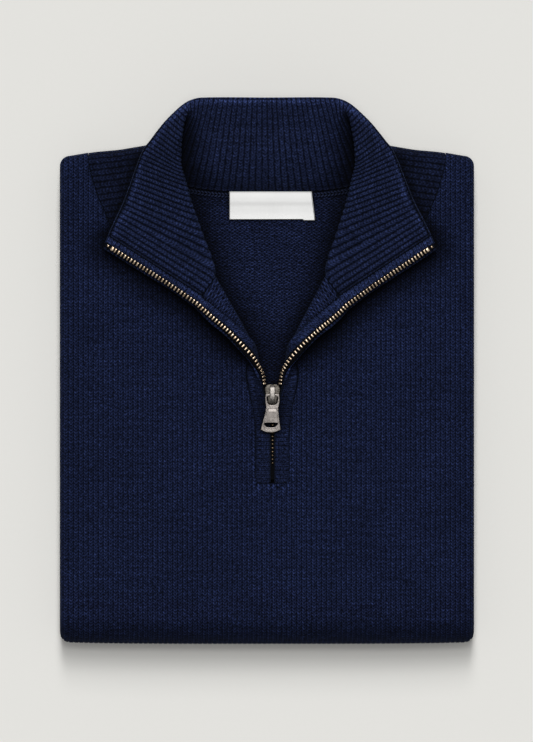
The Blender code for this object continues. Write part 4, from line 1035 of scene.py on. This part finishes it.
def make_band_facing(side, name, half_courses=7):
    """The band's inner layer, which covers the tape beside the open teeth."""
    keys = along_band(5.2, LAST_KEY, BAND_WALE / COLUMNS, 0.7)
    start = read_table(TEETH_SHARE, keys) + FACING_SHARE
    i, j = np.meshgrid(np.arange(len(keys)), np.arange(half_courses + 1), indexing="ij")
    finish = 1 + 0.09 * smooth(SEAM_ROW - 0.5, SEAM_ROW, keys)
    share = lerp(start[:, None], finish[:, None], np.clip((j + LEAN[i % 4]) / half_courses, 0, 1))
    share[:, 0] = start
    # Painted light on the facing beside the open teeth, from key 6.8 on and strongest past key 9.8.
    tone_and_painted_light = (0.7 + 0.7 * smooth(8.6, 9.8, keys)) * smooth(6.8, 7.8, keys)
    knit = with_tone(vec(i / COLUMNS, share * 5), tone_and_painted_light[:, None])
    piece = Piece()
    outer = 0.62 + FACING_RELIEF * stitch_height(i, j)
    piece.shell(*on_band(side, keys, share, band_lift(keys) + 0.1), outer, 0.5, 0.5, knit, flip=side < 0)
    return piece.build(name, BAND)


def make_tape(side, name):
    keys = along_band(4.05, LAST_KEY, 1.2, 0.3)
    start = np.maximum(read_table(TEETH_SHARE, keys) - 0.2, 0.0)
    share = lerp(start[:, None], 0.88, np.linspace(0, 1, 7)[None])
    knit = vec(share * 12, np.arange(len(keys))[:, None] * 1.5)
    piece = Piece()
    piece.shell(*on_band(side, keys, share, band_lift(keys) - 0.1), 0.3, 0.3, 0.2, knit, flip=side < 0)
    return piece.build(name, TAPE, (name.replace("tape_weave", "zip_tape"),))


def block_of(shape):
    """The points and faces of a small shape, for copies."""
    shape.verts.index_update()
    points = np.array([vert.co[:] for vert in shape.verts])
    faces = [[vert.index for vert in face.verts] for face in shape.faces]
    shape.free()
    return points, faces


def rounded_block(size, bevel):
    shape = bmesh.new()
    bmesh.ops.create_cube(shape, size=1.0)
    for vert in shape.verts:
        vert.co = Vector(a * b for a, b in zip(vert.co, size))
    bmesh.ops.bevel(shape, geom=shape.edges[:], offset=bevel, segments=2, profile=0.6, affect="EDGES")
    bmesh.ops.triangulate(shape, faces=[face for face in shape.faces if len(face.verts) != 4])
    return block_of(shape)


TOOTH_PITCH = 2.5
LAST_TOOTH, END_STOP = 10.892, 10.9665      # keys


def teeth_line(side, keys, height):
    """Where teeth stand, at a height over the tape: their places, lengthwise directions and ups."""
    def at(key):
        share = read_table(TEETH_SHARE, key)
        up = band_inside(key, share)
        foot = band_point(key, share) + up * (band_lift(key) + height)[:, None]
        return bowed(side, key, share, foot), up

    places, ups = at(keys)
    ups = unit(mix(ups, UP, 0.7 * smooth(7.5, 4.3, keys)))
    return places, unit(np.cross(ups, at(keys + 0.01)[0] - places)), ups


def teeth_places(side, keys, height):
    """Each tooth's place, lengthwise direction and axes, in the picture's place."""
    for centre, lie, up in zip(*teeth_line(side, keys, height)):
        yield centre, lie, np.array([lie, np.cross(up, lie), up]) * [side, 1, 1]


def make_teeth(side, name):
    keys = along_band(4.3, LAST_TOOTH, TOOTH_PITCH, 0.35)
    piece = Piece()
    block = rounded_block((3.3, 1.08, 1.7), 0.36)
    height = TAPE_WALL / 2 + SEAM_GAP + TEETH_HEIGHT / 2 - 0.1
    sizes = lerp(0.70, 0.86, smooth(7.5, 9.8, keys))
    for size, (centre, lie, axes) in zip(sizes, teeth_places(side, keys, height)):
        piece.copy(block, place(side, centre), axes, (size, 1, 1))
        piece.copy(block, place(side, centre + lie * 1.2 * size), axes, (0.3 * size, 1.3, 0.95))
    return piece.build(name, GOLD, (name.replace("teeth", "zip_chain"),), weld=0)


def make_stop(side, name):
    """The larger last tooth and the small stop beyond it."""
    piece = Piece()
    block = rounded_block((2.9, 2.1, 1.9), 0.5)
    keys = np.array([LAST_TOOTH + 0.030, END_STOP])
    for scale, (centre, _, axes) in zip(((1, 1, 1), (0.5, 0.52, 0.7)), teeth_places(side, keys, 1.4)):
        piece.copy(block, place(side, centre), axes, scale)
    return piece.build(name, GOLD, (name.replace("stop_metal", "zip_stop"),), weld=0)


def make_closed_chain(pitch=2.57):
    """Meshed teeth, seen down the slit, smaller and lower towards the zip's end, their gold darkened by
    painted shade.
    """
    piece = Piece()
    block = rounded_block((1.7, 1.05, 1.4), 0.38)
    count = int((CHAIN_TOP_Y - CHAIN_LOW_Y - 8) / pitch)
    for k in range(count):
        centre = np.array([ZIP_X + 0.1, CHAIN_TOP_Y - 0.8 - k * pitch, CHAIN_Z + 0.3 - 0.5 * k / count])
        piece.copy(block, centre, np.eye(3), (1 - 0.45 * k / count, 1, 1))
    return piece.build("chain_meshed", GOLD_IN_PAINTED_SHADE, ("zip_chain_closed",), weld=0)


def make_closed_tape():
    piece = Piece()
    xs, ys = np.meshgrid(np.linspace(ZIP_X - 9, ZIP_X + 9, 9), np.linspace(CHAIN_LOW_Y, CHAIN_TOP_Y, 40))
    points = vec(xs, ys, CHAIN_Z - 0.7)
    piece.shell(points, normals_of(points), 0.25, 0.25, 0.2, vec(xs * 1.4, ys * 1.5))
    return piece.build("tape_closed", TAPE)


# ---- slider and pull ----
# Half outlines: (out, y) of the slider, (distance from the hinge, half width) of the pull
SLIDER_MIDDLE = np.array([ZIP_X, -14.6])
SLIDER_PLATE, BRIDGE_Y, BRIDGE_REACH, BRIDGE_RISE = 1.3, -15.6, 5.6, 2.9
SLIDER_LINE = [(0.0, -8.9), (1.4, -8.6), (2.8, -8.7), (3.9, -9.4), (4.9, -10.6), (5.3, -12.0), (5.0, -14.0),
               (4.2, -16.6), (3.3, -18.4), (3.1, -20.6), (2.5, -21.8), (0.0, -22.1)]
BRIDGE_SECTION = [(-1.8, -0.5), (-1.5, -0.6), (1.5, -0.6), (1.8, -0.5), (1.8, 0.3), (1.3, 0.6), (-1.3, 0.6),
                  (-1.8, 0.3)]
PULL_OUTLINE = [(-0.65, 3.6), (0.3, 4.6), (4.6, 4.75), (8.4, 4.15), (12.0, 4.5), (22.6, 6.5), (23.6, 6.2),
                (24.8, 3.4), (25.2, 0.9)]
PULL_HOLE = [(0.65, 3.3), (4.4, 3.35), (6.1, 2.5), (6.6, 1.2)]
PULL_SLOT = [(18.9, 4.0), (20.3, 4.0), (21.6, 2.6), (22.0, 0.9)]
PULL_RIM = [(7.8, 3.5), (8.6, 4.1), (12.0, 4.45), (22.6, 6.45), (23.6, 6.15), (24.8, 3.4), (25.15, 0.9)]
PULL_PANEL = [(9.6, 2.9), (12.0, 3.35), (18.4, 4.65), (22.2, 4.4), (23.2, 2.6), (23.5, 0.7)]


def smooth_line(points, per_span=4):
    """A closed line through points, rounded with Catmull-Rom spans."""
    points = np.asarray(points, float)
    a, b, c, d = (np.roll(points, shift, axis=0)[:, None] for shift in (1, 0, -1, -2))
    t = (np.arange(per_span) / per_span)[None, :, None]
    line = 2 * b + (c - a) * t + (2 * a - 5 * b + 4 * c - d) * t * t + (3 * b - a - 3 * c + d) * t ** 3
    return 0.5 * line.reshape(-1, 2)


def plate(piece, outline, low, high, bevel):
    """A rounded plate: an outline lofted through levels that step in at both faces."""
    turns = [math.radians(angle) for angle in (90, 60, 30, 0)]
    levels = [(low + bevel * (1 - math.sin(turn)), bevel * (1 - math.cos(turn))) for turn in turns]
    levels += [(high - (z - low), inset) for z, inset in levels[::-1]]
    spokes = outline - SLIDER_MIDDLE
    size = np.linalg.norm(spokes, axis=1)
    shares = [0.5 + 0 * size] + [1 - inset / size for _, inset in levels] + [0.5 + 0 * size]
    heights = [low] + [z for z, _ in levels] + [high]
    loops = closed([np.column_stack([SLIDER_MIDDLE + spokes * share[:, None], z + 0 * size])
                    for share, z in zip(shares, heights)])
    piece.grid(loops)
    for ring, flip in ((loops[0], True), (loops[-1], False)):
        piece.grid(np.stack([ring, np.broadcast_to(ring.mean(axis=0), ring.shape)]), flip=flip)


def make_slider():
    """Two cast plates joined by a web."""
    line = np.array(SLIDER_LINE)
    whole = np.concatenate([line, (line * [-1, 1])[-2:0:-1]])
    outline = smooth_line(whole[::-1]) + [ZIP_X, 0]
    web = lerp(SLIDER_MIDDLE, outline, 0.62)
    piece = Piece()
    plate(piece, outline, SLIDER_HIGH_Z - SLIDER_PLATE, SLIDER_HIGH_Z, 0.6)
    plate(piece, outline, SLIDER_LOW_Z, SLIDER_LOW_Z + SLIDER_PLATE, 0.45)
    plate(piece, web, SLIDER_LOW_Z + 1.0, SLIDER_HIGH_Z - 1.0, 0.2)
    return piece.build("slider_body", CAST, ("zip_slider",), weld=0.01)


def make_bridge(squared=0.55):
    """The bar over the slider that holds the pull, flatter on top than a half circle."""
    x, high = (smooth_line(BRIDGE_SECTION) * [0.98, 0.95]).T
    loops = []
    for turn in np.linspace(-0.12, math.pi + 0.12, 33):
        up = math.copysign(abs(math.sin(turn)) ** squared, math.sin(turn))
        y = BRIDGE_Y + (BRIDGE_REACH + high) * math.cos(turn)
        loops.append(vec(ZIP_X + x, y, SLIDER_HIGH_Z + (BRIDGE_RISE + high) * up))
    piece = Piece()
    piece.grid(closed(loops), flip=True)
    return piece.build("slider_bridge", BAR, ("zip_slider",), weld=0.01)


def on_pull(name, data, lift=0.0):
    """An object of the pull tab, tilted about its hinge."""
    made = add_object(name, data, NICKEL)
    turn = Matrix.Rotation(math.radians(PULL_TILT), 4, "X")
    made.matrix_world = (Matrix.Translation(Vector((ZIP_X, HINGE_Y, HINGE_Z)) * MM) @ turn
                         @ Matrix.Translation(Vector((0, 0, lift)) * MM))
    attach(made, "pull_tab")
    return made


def pull_piece(name, outlines, low, high, bevel):
    """A flat curve cut to outlines, from one height to another over the pull's middle."""
    curve = bpy.data.curves.new(name, "CURVE")
    curve.dimensions = "2D"
    curve.fill_mode = "BOTH"
    curve.bevel_depth = bevel * MM
    curve.bevel_resolution = 3
    curve.offset = -bevel * MM
    curve.extrude = ((high - low) / 2 - bevel) * MM
    for rows in outlines:
        half = [(half, y) for y, half in rows]
        outline = smooth_line(half + [(-x, y) for x, y in half[::-1]], 5)
        spline = curve.splines.new("POLY")
        spline.points.add(len(outline) - 1)
        for point, (x, away) in zip(spline.points, outline):
            point.co = ((x - PULL_LEAN * max(away - RING_END, 0)) * MM, -away * MM, 0, 1)
        spline.use_cyclic_u = True
    return on_pull(name, curve, (low + high) / 2)


def make_facet(half):
    """The step where the ring becomes the tab, its face turned up towards the ring."""
    shape = bmesh.new()
    bmesh.ops.create_cube(shape, size=1.0)
    for vert in shape.verts:
        far = vert.co.y < 0
        vert.co.x *= 5.4 if far else 4.8
        vert.co.z = (half + (0.30 if far else -0.02)) if vert.co.z > 0 else 0.0
        vert.co.y = -11.0 if far else -8.3
    bmesh.ops.bevel(shape, geom=shape.edges[:], offset=0.12, segments=2, affect="EDGES")
    bmesh.ops.scale(shape, vec=(MM, MM, MM), verts=shape.verts[:])
    mesh = bpy.data.meshes.new("pull_facet")
    shape.to_mesh(mesh)
    shape.free()
    on_pull("pull_facet", mesh)


def make_pull():
    half = PULL_THICKNESS / 2
    metal = pull_piece("pull_metal", (PULL_OUTLINE, PULL_HOLE, PULL_SLOT), -half, half - 0.12, 0.30)
    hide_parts("zip_pull")
    pull_piece("pull_rim", (PULL_RIM, PULL_PANEL), 0.0, half + 0.12, 0.24)
    make_facet(half)


# ---- shoulders, back and neck ----
def make_shoulder(side, name, rows_per_rib=8):
    along = np.linspace(0, 1, SADDLE_RIBS * rows_per_rib + 1)
    share = np.linspace(0, 1, 41)
    points = shoulder_line(side, along[:, None], share[None])
    x, y = points[..., 0], points[..., 1]
    points[..., 2] = top_z(x, y) + SHOULDER_RIPPLE * ripple(x, y)
    xs = lerp(saddle_edge(rear_y(0)), SHOULDER_INNER, share)
    base = vec(side * xs, rear_base(xs), top_z(xs, rear_base(xs)))
    wrap = fold_strip(base, REARWARD, DOWN, np.linspace(0, math.pi, 25), (3.0, EDGE_TUCK))
    points = np.concatenate([points, wrap.transpose(1, 0, 2)])
    run = run_of(points[:, 20])
    beyond = (run[len(along):] - run[len(along) - 1]) / 3.0
    rib = np.concatenate([along * SADDLE_RIBS, SADDLE_RIBS + beyond])[:, None]
    relief = np.where(rib <= SADDLE_RIBS, SADDLE_RELIEF * (2 * ridge(rib) - 1), 0.0)
    relief = relief * smooth(-0.02, 0.12, share)
    across = np.linalg.norm(points[0, -1] - points[0, 0]) * share
    piece = Piece()
    piece.shell(points, normals_of(points) * side, RIB_WALL / 2 + relief, RIB_WALL / 2, 0.25,
                vec(rib, across / COURSE, -0.50), flip=side < 0)
    return piece.build(name, RIBS, (name.replace("knit_", ""),))


def make_back():
    """The back panel's inner face, with its purl side up."""
    neck = read_table(NECK_SEAM, np.linspace(0, 17.4, 120))
    half = int(84 / WALE * COLUMNS)
    low, high = int(FLOOR_LOW_Y / COURSE * ROWS), int(136 / COURSE * ROWS)
    i, j = np.meshgrid(np.arange(-half, half + 1), np.arange(low, high + 1))
    x, y = i * WALE / COLUMNS, j / ROWS * COURSE
    out = abs(x - axis_x(y))
    seam_y = np.interp(out, neck[:, 0], neck[:, 1])
    reach = lerp(0.72, 1.0, np.clip((y - FLOOR_LOW_Y) / (121 - FLOOR_LOW_Y), 0, 1)) * 79
    keep = whole_quads((y > seam_y) | (out > reach))
    y = np.minimum(y, seam_y)
    height = PURL_RELIEF * np.where(j % 2 == 0, PURL_ROW[i % 4], PURL_ROW[(i + 2) % 4])
    points = vec(x, y, floor_z(x, y) + MID + height - 0.1)
    knit = vec(i / COLUMNS, j / ROWS + 0.25)
    piece = Piece()
    piece.grid(points, knit, keep=keep)
    piece.skirt(points, keep, np.broadcast_to(UP, points.shape), 1.6, knit)
    return piece.build("back_knit", PURL, ("back",))


def bead():
    """An egg-shaped stitch, its long axis first, its faces in an order that never varies."""
    shape = bmesh.new()
    bmesh.ops.create_uvsphere(shape, u_segments=8, v_segments=6, radius=0.5)
    points, faces = block_of(shape)
    starts = [face.index(min(face)) for face in faces]
    return points[:, [2, 0, 1]], sorted(face[start:] + face[:start] for start, face in zip(starts, faces))


def make_neck_seam(pitch=2.3, lean=0.55):
    """Linking: two rows of slanted loops that lean against each other."""
    piece = Piece()
    stitch = bead()
    ribs = np.linspace(-12.4, 12.4, 400)
    line = place(np.where(ribs < 0, -1, 1), read_table(NECK_SEAM, abs(ribs)))
    run = run_of(line)
    for k in range(int(run[-1] / pitch)):
        centre, ahead = (vec(*(np.interp((k + 0.5) * pitch + on, run, line[:, c]) for c in range(3)))
                         for on in (0, 1))
        ahead = unit(ahead - centre)
        aside = np.array([ahead[1], -ahead[0], 0.0])
        for row, turn in ((0, lean), (1, -lean)):
            lie = unit(ahead * math.cos(turn) + aside * math.sin(turn))
            spot = centre + aside * (1.7 + 1.75 * row)
            spot[2] = floor_z(spot[0], spot[1]) + MID + 0.55
            piece.copy(stitch, spot, [lie, np.cross(UP, lie), UP], (2.9, 1.25, 1.3))
    return piece.build("neck_linking", YARN, ("neck_seam",), weld=0)


def make_label(slant=2.3):
    """A blank woven label, sewn down over the seam, its right edge slanted, with one dropped corner."""
    rest = MID + SEAM_GAP + LABEL_WALL / 2
    over_seam = rest + NECK_SEAM_HEIGHT + SEAM_GAP
    profile = [(LABEL_LOW_Y, rest + 0.3), (106, rest), (111.5, lerp(rest, over_seam, 0.35)),
               (115.5, over_seam + 0.1), (LABEL_TOP_Y, over_seam + 0.1)]
    y = np.linspace(LABEL_LOW_Y + 1.0, LABEL_TOP_Y, 40)[:, None]
    share = np.sort(np.concatenate([np.linspace(0, 1, 86), [0.856, 0.860, 0.866, 0.874]]))
    x = lerp(LABEL_LEFT, LABEL_RIGHT - slant * ((y - LABEL_LOW_Y) / (LABEL_TOP_Y - LABEL_LOW_Y)), share)
    rise = read_table(profile, y[:, 0])[:, None]
    wave = 0.35 * (smooth(104, 101.5, y) * np.sin(share * 9 + 0.4)) ** 2
    y = y - (0.9 * smooth(0.856, 0.872, share) + 0.25 * (1 - share)) * smooth(106, 102, y)
    points = vec(x, y, floor_z(x, y) + rise + LABEL_RIPPLE * ripple(x * 2.1, y * 1.7) + wave)
    piece = Piece()
    piece.shell(points, normals_of(points), LABEL_WALL / 2, LABEL_WALL / 2, 0.25, vec(x / 0.55, y / 0.8))
    return piece.build("label_cloth", LABEL, ("neck_label",))


# ---- hidden layers ----
def rounded_ring(half, front, rear, radius=9.0, per_corner=10):
    """Points round a rectangle with rounded corners, from its rear right corner."""
    turns = np.linspace(0, math.pi / 2, per_corner)
    across, up = half - radius, (rear - radius, front + radius)
    corners = np.array([(across, up[0]), (-across, up[0]), (-across, up[1]), (across, up[1])])
    parts = []
    for k, count in enumerate((50, 60, 50, 60)):
        angle = turns + k * math.pi / 2
        parts.append(corners[k] + radius * np.column_stack([np.cos(angle), np.sin(angle)]))
        aim = angle[-1]
        finish = corners[(k + 1) % 4] + radius * np.array([math.cos(aim), math.sin(aim)])
        parts.append(lerp(parts[-1][-1], finish, np.linspace(0, 1, count + 1)[1:-1, None]))
    return np.concatenate(parts)


def make_layers():
    """Sleeves, lower back and turned-in sides, with rounded, slightly wavy layered edges."""
    sections = np.array(LAYERS)
    levels = np.concatenate([np.linspace(a, b, 5)[:-1] for a, b in zip(sections[:-1, 0], sections[1:, 0])]
                            + [[sections[-1, 0]]])
    half, rear, front = (np.interp(levels, sections[:, 0], sections[:, k]) for k in (1, 2, 3))
    loops = []
    for k, z in enumerate(levels):
        ring = rounded_ring(half[k], front[k], rear[k])
        wave = 0.5 * np.sin(ring[:, 0] / 17 + z) + 0.45 * np.sin(ring[:, 1] / 21 + 0.8 * z)
        ring = ring + unit(ring) * (wave - 0.5)[:, None]
        loops.append(np.column_stack([ring, np.full(len(ring), z)]))
    grid = closed(loops)
    run = run_of(grid[len(grid) // 2])
    piece = Piece()
    piece.grid(grid, vec(levels[:, None] / WALE * 1.5, run[None] / COURSE))
    for ring, flip in ((grid[0], True), (grid[-1], False)):
        fan = np.stack([ring, ring * [0.5, 0.5, 1], np.broadcast_to(ring.mean(axis=0), ring.shape)])
        piece.grid(fan, fan[..., :2] / 3.0, flip=flip)
    return piece.build("layers_knit", JERSEY, ("folded_layers",))


# ---- make everything ----
front, folds, layers, collar, back = make_front(), make_folds(), make_layers(), make_collar(), make_back()
make_neck_seam()
label = make_label()
make_closed_chain()
closed_tape = make_closed_tape()
make_slider()
make_bridge()
make_pull()
for which, hand in ((-1, "left"), (1, "right")):
    for maker, name in ((make_shoulder, "knit_shoulder"), (make_band, "band_knit"),
                        (make_facing, "lapel_facing"), (make_band_facing, "band_facing"),
                        (make_tape, "tape_weave"), (make_teeth, "teeth"), (make_stop, "stop_metal")):
        maker(which, f"{name}_{hand}")

# ---- floor, light and camera ----
FLOOR_HALF, FLOOR_GAP = 4.0, 0.0003             # metres
FRAME_HEIGHT, LENS, SENSOR = 0.5014, 800.0, 36.0
# A long soft box over the table, reaching back past the picture's top: tilt and share of the light
SUNS = [(0, 0.19), (14, 0.18), (28, 0.15), (39, 0.20), (50, 0.11)]
SUN_SPREAD, WORLD_SHARE = 13, 0.19


def make_floor():
    mesh = bpy.data.meshes.new("floor")
    a, b = -FLOOR_HALF, FLOOR_HALF
    mesh.from_pydata([(x, y, -FLOOR_GAP) for x, y in ((a, a), (b, a), (b, b), (a, b))], [], [(0, 1, 2, 3)])
    look = Look("floor_paper", 0.9, specular=0.0)
    grain = look.noise(look.place(), 300.0, 2.0)
    look.set("Base Color", look.blend(grain, colour(0.752, 0.745, 0.715), colour(0.762, 0.755, 0.725)))
    add_object("floor", mesh, look.material)


def make_light():
    """Light from above and from the picture's top, as suns in a row, with a weak white surround."""
    world = bpy.data.worlds.new("studio")
    bpy.context.scene.world = world
    world.use_nodes = True
    background = world.node_tree.nodes["Background"]
    background.inputs["Color"].default_value = colour(1.0, 1.0, 1.0)
    background.inputs["Strength"].default_value = WORLD_SHARE
    for k, (tilt, share) in enumerate(SUNS):
        sun = bpy.data.lights.new(f"sun_{k}", "SUN")
        turn = math.radians(tilt)
        sun.energy = share * math.pi / math.cos(turn)
        sun.angle = math.radians(SUN_SPREAD)
        aim = Vector((0, math.sin(turn), math.cos(turn)))
        add_object(f"sun_{k}", sun).rotation_euler = aim.to_track_quat("Z", "Y").to_euler()


def make_camera():
    data = bpy.data.cameras.new("camera")
    data.lens = LENS
    data.sensor_width = SENSOR
    data.clip_end = 40.0
    camera = add_object("camera", data)
    camera.location = (-0.0003, 0.0003, FRAME_HEIGHT * LENS / SENSOR + 0.030)
    camera.rotation_euler = (0, 0, 0)
    bpy.context.scene.camera = camera


make_floor()
make_light()
make_camera()
bpy.context.scene.view_settings.view_transform = "Standard"
bpy.context.scene.view_settings.look = "None"
